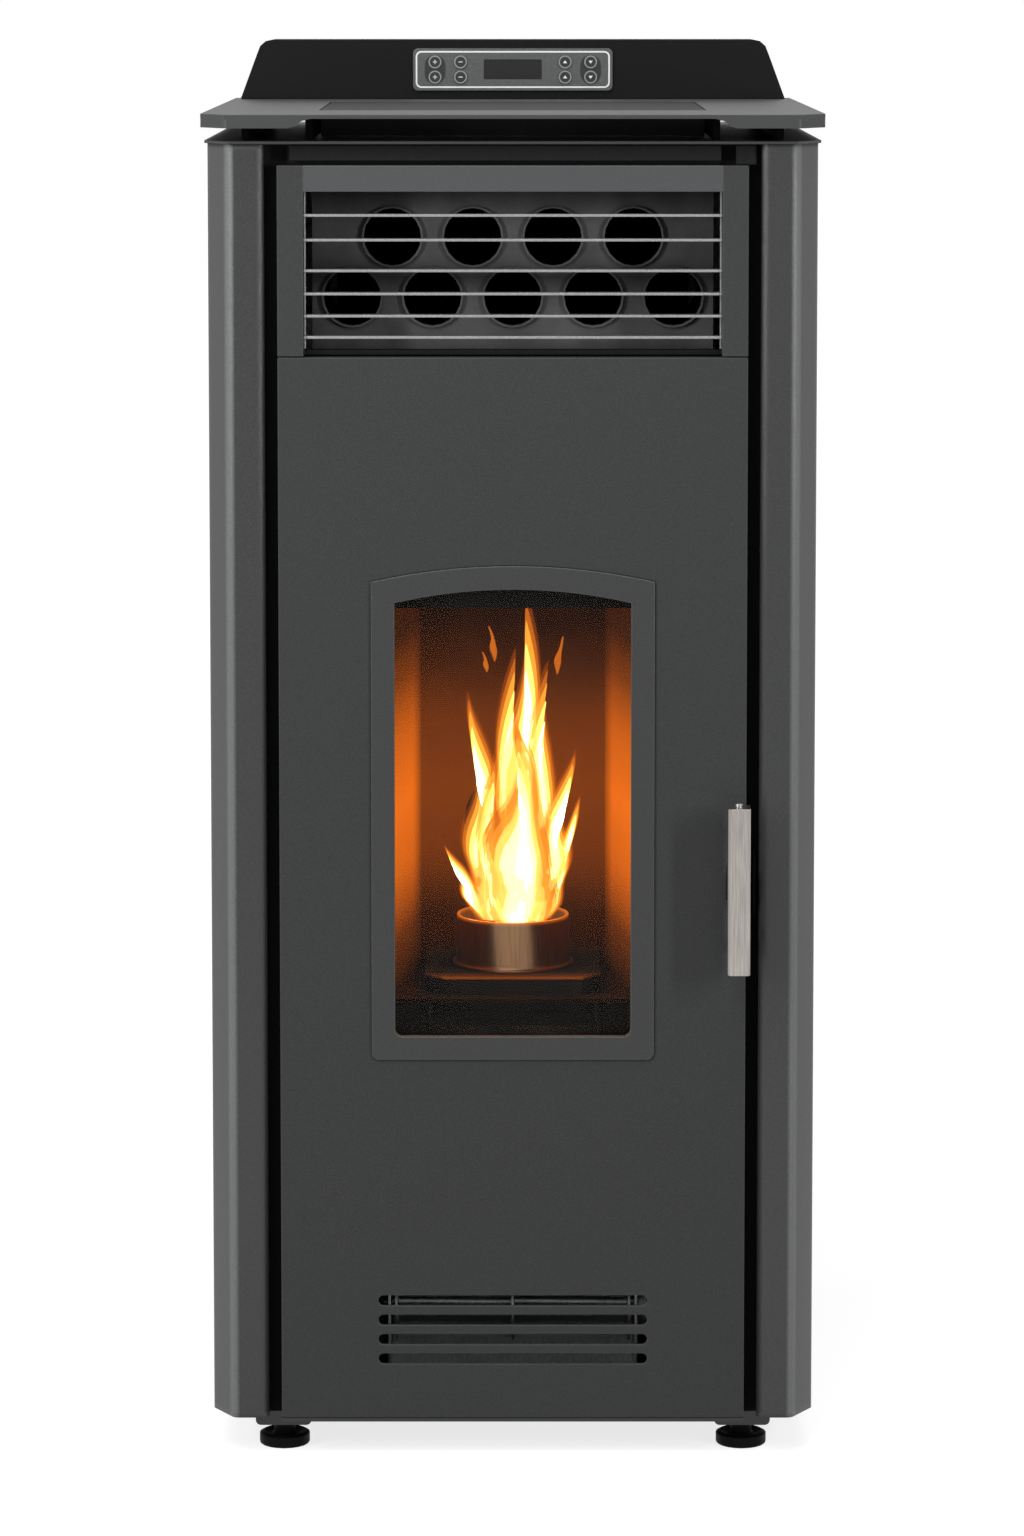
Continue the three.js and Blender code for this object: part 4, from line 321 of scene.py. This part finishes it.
def mesh_piece(name, verts, faces, material, body, slot=None, smooth=False):
    """A piece of the scene's own that rides on a body, or on no body when that is None."""
    mesh = bpy.data.meshes.new(name)
    mesh.from_pydata([tuple(v) for v in verts], [], faces)
    mesh.validate()
    mesh.update()
    if smooth:
        mesh.shade_smooth()
    mesh.materials.append(material)
    obj = placed(name, mesh)
    if body:
        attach(obj, body)
    return obj


def front_band(points, half_width, y, lift, closed=True):
    """A flat line of one width that faces the front (-Y), drawn along points (x, z)."""
    count = len(points)
    verts, faces = [], []
    for i, (x, z) in enumerate(points):
        before = points[(i - 1) % count] if closed or i else points[0]
        after = points[(i + 1) % count] if closed or i < count - 1 else points[-1]
        dx, dz = after[0] - before[0], after[1] - before[1]
        length = math.hypot(dx, dz)
        nx, nz = -dz / length * half_width, dx / length * half_width
        verts += [(x + nx, y - lift, z + nz), (x - nx, y - lift, z - nz)]
    for i in range(count if closed else count - 1):
        a, b = 2 * i, 2 * ((i + 1) % count)
        faces.append((a, a + 1, b + 1, b))
    return verts, faces


def rounded_loop(cx, cz, half_x, half_z, radius, steps=6):
    """Points (x, z) round a rectangle with rounded corners."""
    points = []
    for sx, sz, start in ((1, 1, 0), (-1, 1, 90), (-1, -1, 180), (1, -1, 270)):
        for i in range(steps + 1):
            angle = math.radians(start + 90 * i / steps)
            points.append((
                cx + sx * (half_x - radius) + radius * math.cos(angle),
                cz + sz * (half_z - radius) + radius * math.sin(angle),
            ))
    return points


def front_patch(points, y, lift):
    """A flat face that looks to the front (-Y), inside points (x, z)."""
    return [(x, y - lift, z) for x, z in points], [tuple(range(len(points)))]


def merged(parts):
    """One list of vertices and one of faces, from several of each."""
    verts, faces = [], []
    for more_verts, more_faces in parts:
        start = len(verts)
        verts += more_verts
        faces += [tuple(i + start for i in face) for face in more_faces]
    return verts, faces


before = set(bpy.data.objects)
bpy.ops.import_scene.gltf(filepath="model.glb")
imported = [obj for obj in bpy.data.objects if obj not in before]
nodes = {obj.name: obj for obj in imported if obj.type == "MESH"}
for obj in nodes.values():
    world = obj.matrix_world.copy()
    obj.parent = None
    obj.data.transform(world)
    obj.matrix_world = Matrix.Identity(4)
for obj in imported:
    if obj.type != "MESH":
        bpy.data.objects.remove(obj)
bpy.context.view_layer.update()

# ---------------------------------------------------------------- finishes

smooth_group = smoothing()
for node in nodes.values():
    facets = node.modifiers.new("smooth_facets", "NODES")
    facets.node_group = smooth_group
    normals = node.modifiers.new("flat_faces_stay_flat", "WEIGHTED_NORMAL")
    normals.keep_sharp = True

# A coat's numbers are its roughness, the radius of its edges (m) and its gloss; a fourth, where given, is
# how much paler its edges are, as a painted highlight.
coat = powder_coat("grey_coat", COAT, 0.42, 0.0012, 0.1, edge_highlight=2.0)

# The column's bend has a painted highlight: a band paler than its faces.
BEND_HIGHLIGHT = 4.2
BEND_X, BEND_HALF = 0.2087, 0.006
column_coat = powder_coat("column_coat", [c * 0.8 * BEND_HIGHLIGHT for c in COAT], 0.2, 0.006, 0.35)
darkened(column_coat, ramped(
    column_coat, out_from_middle(column_coat, BEND_X - BEND_HALF, BEND_X + BEND_HALF),
    [(0.0, 1 / BEND_HIGHLIGHT), (0.15, 1 / BEND_HIGHLIGHT), (0.4, 1.0), (0.6, 1.0), (0.85, 1 / BEND_HIGHLIGHT)]))

window_coat = powder_coat("window_coat", COAT, 0.26, 0.0014, 0.22, edge_highlight=2.4)
top_coat = powder_coat("top_coat", COAT_DARK, 0.4, 0.0008, 0.5)
slab_coat = powder_coat("slab_coat", COAT, 0.5, 0.001, 0.25, edge_highlight=1.8)
lid_coat = powder_coat("lid_coat", [c * 0.4 for c in COAT], 0.6, 0.0008, 0.1)
console_black = powder_coat("console_black", (0.006, 0.006, 0.006), 0.45, 0.001, 0.08)
frame_black = powder_coat("frame_black", (0.0025, 0.0025, 0.0025), 0.6, 0.0005, 0.03)
frame_grey = powder_coat("frame_grey", (0.014, 0.014, 0.014), 0.6, 0.0005, 0.05)
louvre_coat = powder_coat("louvre_coat", (0.26, 0.26, 0.26), 0.35, 0.0006, 0.5)
bsdf_of(louvre_coat).inputs["Metallic"].default_value = 0.6
inner_steel = sooty("inner_steel", (0.004, 0.003, 0.003), (0.010, 0.008, 0.007))
pot_steel = brushed("pot_steel", (0.30, 0.165, 0.085), 0.3, (1.0, 1.0, 0.06))
handle_steel = brushed("handle_steel", (0.34, 0.315, 0.295), 0.3, (1.0, 1.0, 0.04))
zinc = brushed("zinc", (0.42, 0.43, 0.44), 0.45, (1.0, 1.0, 0.3))
plain_steel = brushed("plain_steel", (0.36, 0.36, 0.36), 0.35, (1.0, 1.0, 1.0))
foot_plastic = powder_coat("foot_plastic", (0.003, 0.003, 0.003), 0.5, 0.001, 0.06)
plastic = powder_coat("black_plastic", (0.010, 0.010, 0.010), 0.4)
plate_grey = powder_coat("plate_grey", (0.078, 0.08, 0.081), 0.45, 0.0006, 0.2)
button_grey = powder_coat("button_grey", (0.25, 0.26, 0.26), 0.35, 0.0005)
board_green = powder_coat("board_green", (0.01, 0.06, 0.025), 0.4)
lens = surface("display_lens", (0.012, 0.012, 0.013), 0.1, Specular_IOR_Level=0.25)
glass = surface("window_glass", (0.02, 0.018, 0.016), 0.03, Alpha=0.08)
rope = surface("seal_rope", (0.09, 0.085, 0.08), 0.95)
rounded(rope, 0.001, noise(rope, scale=700.0, stretch=(1.0, 1.0, 0.35)), strength=0.9, depth=0.001)

# The exchanger's face is bare and dull; inside its tubes it is black with soot and painted shade, darker the
# deeper.
SOOT_AND_SHADE_DEPTH = 0.012
exchanger_low, exchanger_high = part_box("heat_exchanger")
exchanger_steel = sooty("exchanger_steel", (0.10, 0.10, 0.10), (0.15, 0.15, 0.15), 0.5)
depth = place_on(exchanger_steel, Y, exchanger_low[Y], exchanger_low[Y] + SOOT_AND_SHADE_DEPTH)
# Painted light by height: lighter bands across each row of tubes, painted shade between the rows and at the
# top and bottom.
tier = place_on(exchanger_steel, Z, exchanger_low[Z], exchanger_high[Z])
darkened(exchanger_steel,
         ramped(exchanger_steel, depth, [(0.0, 1.0), (0.35, 0.8), (1.0, 0.02)]),
         ramped(exchanger_steel, tier,
                [(0.0, 0.3), (0.24, 1.0), (0.40, 0.8), (0.50, 0.25),
                 (0.60, 0.9), (0.74, 1.0), (0.90, 0.3), (1.0, 0.15)]))

# The grille's rail is paler than its stiles, and the tie under the lowest bar has painted shade.
grille_low, grille_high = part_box("grille_frame")
grille_coat = powder_coat("grille_coat", [c * 2.0 for c in COAT], 0.4, 0.0012, 0.15, edge_highlight=1.8)
OPEN_HALF, TIE_HEIGHT, STEP = 0.154, 0.0045, 0.0003
above_tie = place_on(grille_coat, Z, grille_low[Z] + TIE_HEIGHT, grille_low[Z] + TIE_HEIGHT + STEP)
on_stile = out_from_middle(grille_coat, OPEN_HALF - STEP, OPEN_HALF + STEP)
rail_level = combined(grille_coat, ramped(grille_coat, on_stile, [(0.0, 0.85), (1.0, 0.0)]),
                      ramped(grille_coat, above_tie, [(0.0, 0.05), (1.0, 1.0)]))
stile_level = ramped(grille_coat, on_stile, [(0.0, 0.0), (1.0, 0.47)])
darkened(grille_coat, combined(grille_coat, rail_level, stile_level, "ADD"))

# Firelight on the firebox: brightest half-way up the side walls, weaker on the back wall.
FIRE_LOW, FIRE_HIGH = 0.34, 0.62
FIRE_MIDDLE = (0.0, -0.15, 0.52)
BACK_HALF, FADE_IN, FADE_OUT = 0.073, 0.002, 0.004
fire_steel = sooty("fire_steel", (0.006, 0.002, 0.0006), (0.015, 0.005, 0.0015))
by_height = ramped(fire_steel, place_on(fire_steel, Z, FIRE_LOW, FIRE_HIGH),
                   [(0.0, 0.0), (0.14, 0.12), (0.32, 0.75), (0.5, 1.0),
                    (0.68, 0.7), (0.84, 0.2), (0.96, 0.03)])
by_side = ramped(fire_steel, out_from_middle(fire_steel, BACK_HALF - FADE_IN, BACK_HALF + FADE_OUT),
                 [(0.0, 0.22), (1.0, 0.95)])
inner_faces = facing_point(fire_steel, FIRE_MIDDLE)
glowing(fire_steel, combined(fire_steel, combined(fire_steel, by_height, by_side), inner_faces))

# Firelight on the shelf's top, near its front edge, and on the pot's rim.
LIT_TOP, LIT_FRONT, LIT_RIM = 0.002, 0.02, 0.003
shelf_steel = sooty("shelf_steel", (0.004, 0.003, 0.0025), (0.012, 0.009, 0.007))
shelf_low, shelf_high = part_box("pot_shelf")
lit_top = ramped(shelf_steel, place_on(shelf_steel, Z, shelf_high[Z] - LIT_TOP, shelf_high[Z]),
                 [(0.0, 0.0), (0.5, 0.25), (1.0, 0.25)])
lit_front = ramped(shelf_steel, place_on(shelf_steel, Y, shelf_low[Y], shelf_low[Y] + LIT_FRONT),
                   [(0.0, 1.0), (0.1, 0.4), (1.0, 0.0)])
glowing(shelf_steel, combined(shelf_steel, lit_top, lit_front))
pot_low, pot_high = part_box("burn_pot")
glowing(pot_steel, ramped(pot_steel, place_on(pot_steel, Z, pot_high[Z] - LIT_RIM, pot_high[Z]),
                          [(0.0, 0.0), (0.4, 0.15), (1.0, 0.55)]))

# The front frame has painted shade behind the grille: darker there than above it.
SHADE_HALF = 0.002
darkened(frame_grey, ramped(
    frame_grey, place_on(frame_grey, Z, grille_high[Z] - SHADE_HALF, grille_high[Z] + SHADE_HALF),
    [(0.0, 0.15), (1.0, 1.0)]))

dress(coat, "door_panel")
dress(grille_coat, "grille_frame")
dress(column_coat, "side_panel_left", "side_panel_right")
dress(window_coat, "window_frame")
dress(slab_coat, "top_slab")
dress(lid_coat, "hopper_lid")
dress(top_coat, "body_top_plate", "base_plate")
dress(frame_grey, "front_frame")
dress(frame_black, "slab_spacer_left", "slab_spacer_right")
dress(louvre_coat, "louvre_bars")
dress(console_black, "console_housing", "console_back")
dress(exchanger_steel, "heat_exchanger")
dress(fire_steel, "firebox")
dress(shelf_steel, "pot_shelf", "ash_pan")
dress(inner_steel, "glass_retainer", "baffle_plate", "air_wash_deflector", "auger_tube",
      "auger_screw", "hopper")
dress(pot_steel, "burn_pot")
dress(handle_steel, "door_handle")
dress(zinc, "rear_panel", "smoke_duct", "exhaust_fan_housing", "flue_outlet", "air_intake_pipe",
      "room_fan_housing", "room_fan_roller", "exhaust_impeller", "auger_motor")
dress(plain_steel, "door_hinge_lower", "door_hinge_upper", "latch_hook", "lid_hinge_pin", "igniter")
dress(foot_plastic, *[n for n in nodes if n.startswith("levelling_foot")])
dress(plastic, "power_inlet", "power_switch")
dress(plate_grey, "control_plate")
dress(button_grey, *[n for n in nodes if n.startswith("button_")])
dress(board_green, "control_board")
dress(lens, "display_lens")
dress(glass, "window_glass")
dress(rope, "door_seal")

# ---------------------------------------------------------------- console marks

white_ink = surface("white_ink", (0.62, 0.63, 0.63), 0.5)
ring_ink = surface("ring_ink", (0.22, 0.225, 0.23), 0.5)
black_ink = surface("black_ink", (0.010, 0.010, 0.010), 0.4)
INK = 0.00012  # how far each layer of a mark stands off the face
BORDER_INSET, BORDER_RADIUS, BORDER_HALF = 0.0028, 0.004, 0.00065
FIELD_HALF, FIELD_INSET, FIELD_RADIUS = 0.0085, 0.0055, 0.0084
RING_SHARE, RING_LINE, DISC_SHARE, MARK_SHARE = 0.86, 0.06, 0.74, 0.3  # of a button's radius
CORNER_GAP = 1e-5  # left straight between the corners of a circle, so that no two points meet

plate_low, plate_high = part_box("control_plate")
plate_y = plate_low[Y]
plate_mid = (plate_low[Z] + plate_high[Z]) / 2
plate_half = (plate_high[Z] - plate_low[Z]) / 2
border = rounded_loop(0, plate_mid, plate_high[X] - BORDER_INSET, plate_half - BORDER_INSET, BORDER_RADIUS)
mesh_piece("plate_border", *front_band(border, BORDER_HALF, plate_y, INK), white_ink, "root", "grey_plastic")

keys = [n for n in nodes if n.startswith("button_")]
centres = {}
for key in keys:
    low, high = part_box(key)
    centres[key] = ((low[X] + high[X]) / 2, low[Y], (low[Z] + high[Z]) / 2, (high[X] - low[X]) / 2)
outer = max(centre[X] for centre in centres.values())
capsules = []
for side in (-1, 1):
    loop = rounded_loop(side * outer, plate_mid, FIELD_HALF, plate_half - FIELD_INSET, FIELD_RADIUS)
    capsules.append(front_patch(loop, plate_y, INK))
mesh_piece("key_fields", *merged(capsules), black_ink, "root", "black_plastic")


def glyph(kind, x, z, size):
    """Plain marks: plus, minus and triangles that point up or down."""
    def bar(half_x, half_z):
        return [(x - half_x, z - half_z), (x + half_x, z - half_z),
                (x + half_x, z + half_z), (x - half_x, z + half_z)]

    thin, base, tip = size * 0.18, size * 0.6, size * 0.8
    if kind == "plus":
        return [bar(size, thin), bar(thin, size)]
    if kind == "minus":
        return [bar(size, thin)]
    if kind == "up":
        return [[(x - size, z - base), (x + size, z - base), (x, z + tip)]]
    return [[(x - size, z + base), (x, z - tip), (x + size, z + base)]]


KINDS = ("plus", "minus", "up", "down")
for index, key in enumerate(sorted(keys)):
    x, y, z, r = centres[key]
    ring, disc = (rounded_loop(x, z, r * share, r * share, r * share - CORNER_GAP)
                  for share in (RING_SHARE, DISC_SHARE))
    body = key.replace("button", "key")
    mesh_piece(f"{key}_ring", *front_band(ring, r * RING_LINE, y, INK), ring_ink, body, "grey_plastic")
    mesh_piece(f"{key}_disc", *front_patch(disc, y, INK), black_ink, body, "black_plastic")
    shapes = glyph(KINDS[index % len(KINDS)], x, z, r * MARK_SHARE)
    marks = merged([front_patch(shape, y, 2 * INK) for shape in shapes])
    mesh_piece(f"{key}_mark", *marks, white_ink, body, "grey_plastic")

# ---------------------------------------------------------------- fire

rng = random.Random(7)
POT_X = (pot_low[X] + pot_high[X]) / 2
POT_Y = (pot_low[Y] + pot_high[Y]) / 2
POT_RIM = pot_high[Z]


def tube_faces(rings, sides):
    """Faces of a closed tube whose vertices lie in rings, one more than the bands between them."""
    faces = []
    for i in range(rings):
        for k in range(sides):
            a, b = i * sides + k, i * sides + (k + 1) % sides
            faces.append((a, b, b + sides, a + sides))
    faces.append(tuple(reversed(range(sides))))
    faces.append(tuple(range(rings * sides, (rings + 1) * sides)))
    return faces


FOOT_WIDTH, SWELL, TIP_RADIUS = 0.62, 0.38, 0.0003
RIPPLE, SWAY_X, SWAY_Y, LOBES = 0.13, 0.16, 0.1, 0.14  # shares of a flame's radius


def tongue(x, y, low, high, radius, lean, phase, foot_share=0.6, rings=26, sides=16):
    """A closed flame shape: narrow at its foot, widest a third up, drawn out to a wavy, leaning tip.

    Foot_share is how far out its foot starts, against the place (x, y) that it reaches higher up.
    """
    verts = []
    for i in range(rings + 1):
        t = i / rings
        swell = FOOT_WIDTH + SWELL * math.sin(math.pi * min(1.0, t * 1.6) ** 0.8)
        ripple = 1 + RIPPLE * math.sin(13 * t + 1.7 * phase)
        r = radius * swell * ripple * (1 - t ** 1.6) ** 0.85 + TIP_RADIUS
        if foot_share == WISP_FOOT:  # drawn to a point at both ends
            r *= min(1.0, 0.05 + 3 * t)
        spread = foot_share + (1 - foot_share) * min(1.0, 2.2 * t)
        cx = POT_X + x * spread + t * t * lean + SWAY_X * radius * t * math.sin(10 * t + phase)
        cy = POT_Y + y * spread + SWAY_Y * radius * math.sin(7 * t + 2 * phase)
        for k in range(sides):
            a = 2 * math.pi * k / sides
            wave = 1 + LOBES * math.sin(3 * a + 8 * t + phase)
            out = r * wave
            verts.append((cx + out * math.cos(a), cy + out * math.sin(a), low + (high - low) * t))
    return verts, tube_faces(rings, sides)


def flame_material(name, color, strength, alpha):
    """Glowing gas: no gloss, only light, partly clear."""
    mat = surface(name, (0.0, 0.0, 0.0), 1.0, Alpha=alpha, Specular_IOR_Level=0.0)
    emits(mat, color, strength)
    return mat


FLAME_FOOT = 0.004  # below the rim
WISP_LAYERS, WISP_Y, WISP_PHASE, WISP_FOOT = 2, 0.004, 1.0, 1.0
TONGUES = [  # x, y from the pot's middle, top above the rim, radius, lean, phase (m)
    (0.006, -0.012, 0.152, 0.031, 0.002, 0.9),
    (0.006, 0.004, 0.248, 0.030, 0.008, 0.3),
    (-0.003, 0.002, 0.205, 0.026, 0.002, 3.4),
    (0.016, 0.000, 0.196, 0.024, 0.010, 2.9),
    (-0.016, 0.004, 0.172, 0.022, -0.016, 1.7),
    (0.025, -0.004, 0.128, 0.020, 0.021, 5.0),
    (0.030, 0.000, 0.092, 0.015, 0.024, 0.5),
    (-0.016, -0.004, 0.122, 0.023, -0.002, 4.1),
    (-0.030, -0.002, 0.054, 0.010, -0.022, 2.1),
]
WISPS = [  # x from the pot's middle, foot and top above the rim, radius, lean
    (-0.014, 0.194, 0.222, 0.0030, -0.004),
    (0.034, 0.184, 0.214, 0.0030, 0.005),
    (-0.020, 0.186, 0.202, 0.0022, -0.003),
]
LAYERS = [  # share of the full width and height, colour, strength, alpha
    (1.00, 1.00, (1.0, 0.17, 0.006), 1.0, 0.10),
    (0.92, 0.96, (1.0, 0.26, 0.015), 1.8, 0.16),
    (0.82, 0.91, (1.0, 0.42, 0.04), 3.0, 0.22),
    (0.71, 0.84, (1.0, 0.60, 0.14), 6.0, 0.30),
    (0.58, 0.76, (1.0, 0.78, 0.34), 11.0, 0.42),
    (0.44, 0.66, (1.0, 0.88, 0.62), 18.0, 0.70),
]
foot = POT_RIM - FLAME_FOOT
for level, (wide, tall, color, strength, alpha) in enumerate(LAYERS):
    parts = [
        tongue(x, y, foot, foot + (top + FLAME_FOOT) * tall, radius * wide, lean * tall, phase)
        for x, y, top, radius, lean, phase in TONGUES
    ]
    if level < WISP_LAYERS:
        parts += [
            tongue(x, WISP_Y, POT_RIM + start, POT_RIM + top, radius * wide, lean, WISP_PHASE, WISP_FOOT)
            for x, start, top, radius, lean in WISPS
        ]
    name = f"flame_{level + 1}"
    gas = flame_material(name, color, strength, alpha)
    flame = mesh_piece(name, *merged(parts), gas, None, smooth=True)
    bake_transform(flame)
    flame.visible_shadow = False


PELLET_RADIUS, PELLET_LENGTHS, PELLET_TILT = 0.003, (0.009, 0.015), 0.5


def pellet(centre, turn, length, radius=PELLET_RADIUS, sides=8):
    """A closed cylinder along the turned X axis."""
    verts = []
    for end in (-1, 1):
        for k in range(sides):
            a = 2 * math.pi * k / sides
            rim = Vector((end * length / 2, radius * math.cos(a), radius * math.sin(a)))
            verts.append(centre + turn @ rim)
    return verts, tube_faces(1, sides)


def heap(count, reach, low, high):
    """Pellets strewn in the pot, heaped up towards its middle."""
    parts = []
    for _ in range(count):
        r, a = reach * math.sqrt(rng.random()), rng.uniform(0, 2 * math.pi)
        z = low + (high - low) * (1 - (r / reach) ** 2) * rng.uniform(0.5, 1.0)
        heading = Matrix.Rotation(rng.uniform(0, math.pi), 3, "Z")
        tilt = Matrix.Rotation(rng.uniform(-PELLET_TILT, PELLET_TILT), 3, "Y")
        centre = Vector((POT_X + r * math.cos(a), POT_Y + r * math.sin(a), z))
        parts.append(pellet(centre, heading @ tilt, rng.uniform(*PELLET_LENGTHS)))
    return merged(parts)


ember = surface("ember", (0.05, 0.02, 0.01), 0.9)
emits(ember, (1.0, 0.25, 0.04), 2.2)
char = sooty("char", (0.01, 0.009, 0.008), (0.06, 0.04, 0.03))
mesh_piece("embers", *heap(46, 0.024, POT_RIM - 0.020, POT_RIM - 0.006), ember, "pot")
mesh_piece("charred_pellets", *heap(60, 0.026, POT_RIM - 0.026, POT_RIM - 0.010), char, "pot")

# ---------------------------------------------------------------- studio


def area_light(name, place, aim, size, power):
    data = bpy.data.lights.new(name, "AREA")
    data.shape = "RECTANGLE"
    data.size, data.size_y = size
    data.energy = power
    obj = placed(name, data)
    obj.location = place
    obj.visible_camera = False
    obj.rotation_euler = (Vector(aim) - Vector(place)).to_track_quat("-Z", "Y").to_euler()


AREA_LIGHTS = [  # name, place, aim, width and height (m), power (W)
    ("key", (-0.7, -1.7, 2.3), (0.0, -0.2, 0.8), (1.5, 0.9), 30),
    ("top", (0.2, -0.4, 2.6), (0.0, 0.0, 1.0), (1.8, 1.2), 30),
    ("strip_left", (-1.5, -1.5, 1.1), (-0.2, -0.2, 0.9), (0.12, 1.0), 22),
    ("strip_right", (1.5, -1.5, 1.1), (0.2, -0.2, 0.9), (0.12, 1.0), 18),
]
for light in AREA_LIGHTS:
    area_light(*light)

FIRE_HEIGHT, FIRE_RADIUS, FIRE_POWER = 0.09, 0.03, 2.2  # m above the pot's rim, m, W
fire = bpy.data.lights.new("fire", "POINT")
fire.energy = FIRE_POWER
fire.color = (1.0, 0.30, 0.03)
fire.shadow_soft_size = FIRE_RADIUS
placed("fire", fire).location = (POT_X, POT_Y, POT_RIM + FIRE_HEIGHT)

# The world lights the object weakly and shows white behind it.
WORLD_LIGHT = 0.2
world = bpy.data.worlds.new("studio")
bpy.context.scene.world = world
world.use_nodes = True
tree = world.node_tree
tree.nodes.clear()
lit = tree.nodes.new("ShaderNodeBackground")
lit.inputs["Strength"].default_value = WORLD_LIGHT
seen = tree.nodes.new("ShaderNodeBackground")
for shade in (lit, seen):
    shade.inputs["Color"].default_value = (*WHITE, 1.0)
mix = tree.nodes.new("ShaderNodeMixShader")
out = tree.nodes.new("ShaderNodeOutputWorld")
tree.links.new(background_rays(tree), mix.inputs["Fac"])
tree.links.new(lit.outputs[0], mix.inputs[1])
tree.links.new(seen.outputs[0], mix.inputs[2])
tree.links.new(mix.outputs[0], out.inputs["Surface"])

# The floor takes shadows near the stove and fades into the white behind it.
NEAR, FAR, REACH = 0.4, 3.0, 30.0
floor_mat = surface("floor", (0.40, 0.40, 0.40), 0.9, Specular_IOR_Level=0.0)
emits(floor_mat, WHITE)
whiten = ramped(floor_mat, far_from_middle(floor_mat, NEAR, FAR), [(0.0, 0.78), (0.2, 0.80), (1.0, 1.0)])
links(floor_mat).new(combined(floor_mat, background_rays(floor_mat.node_tree), whiten),
                     bsdf_of(floor_mat).inputs["Emission Strength"])
floor_mesh = bpy.data.meshes.new("floor")
corners = [(-REACH, -REACH, 0), (REACH, -REACH, 0), (REACH, REACH, 0), (-REACH, REACH, 0)]
floor_mesh.from_pydata(corners, [], [(0, 1, 2, 3)])
floor_mesh.materials.append(floor_mat)
floor = placed("floor", floor_mesh)

camera_data = bpy.data.cameras.new("camera")
camera_data.lens = FOCAL_PX * SENSOR_MM / IMAGE_HEIGHT
camera_data.sensor_width = SENSOR_MM
camera_data.shift_y = -(IMAGE_HEIGHT / 2 - HORIZON_PX) / IMAGE_HEIGHT
camera_data.shift_x = (IMAGE_WIDTH / 2 - CENTRE_PX) / IMAGE_HEIGHT
camera_data.clip_end = 100.0
camera = placed("camera", camera_data)
camera.location = (0.0, DOOR_FACE_Y - CAMERA_DISTANCE, CAMERA_HEIGHT)
camera.rotation_euler = (math.pi / 2 - CAMERA_PITCH, 0.0, 0.0)
bpy.context.scene.camera = camera
bpy.context.scene.view_settings.view_transform = "Standard"
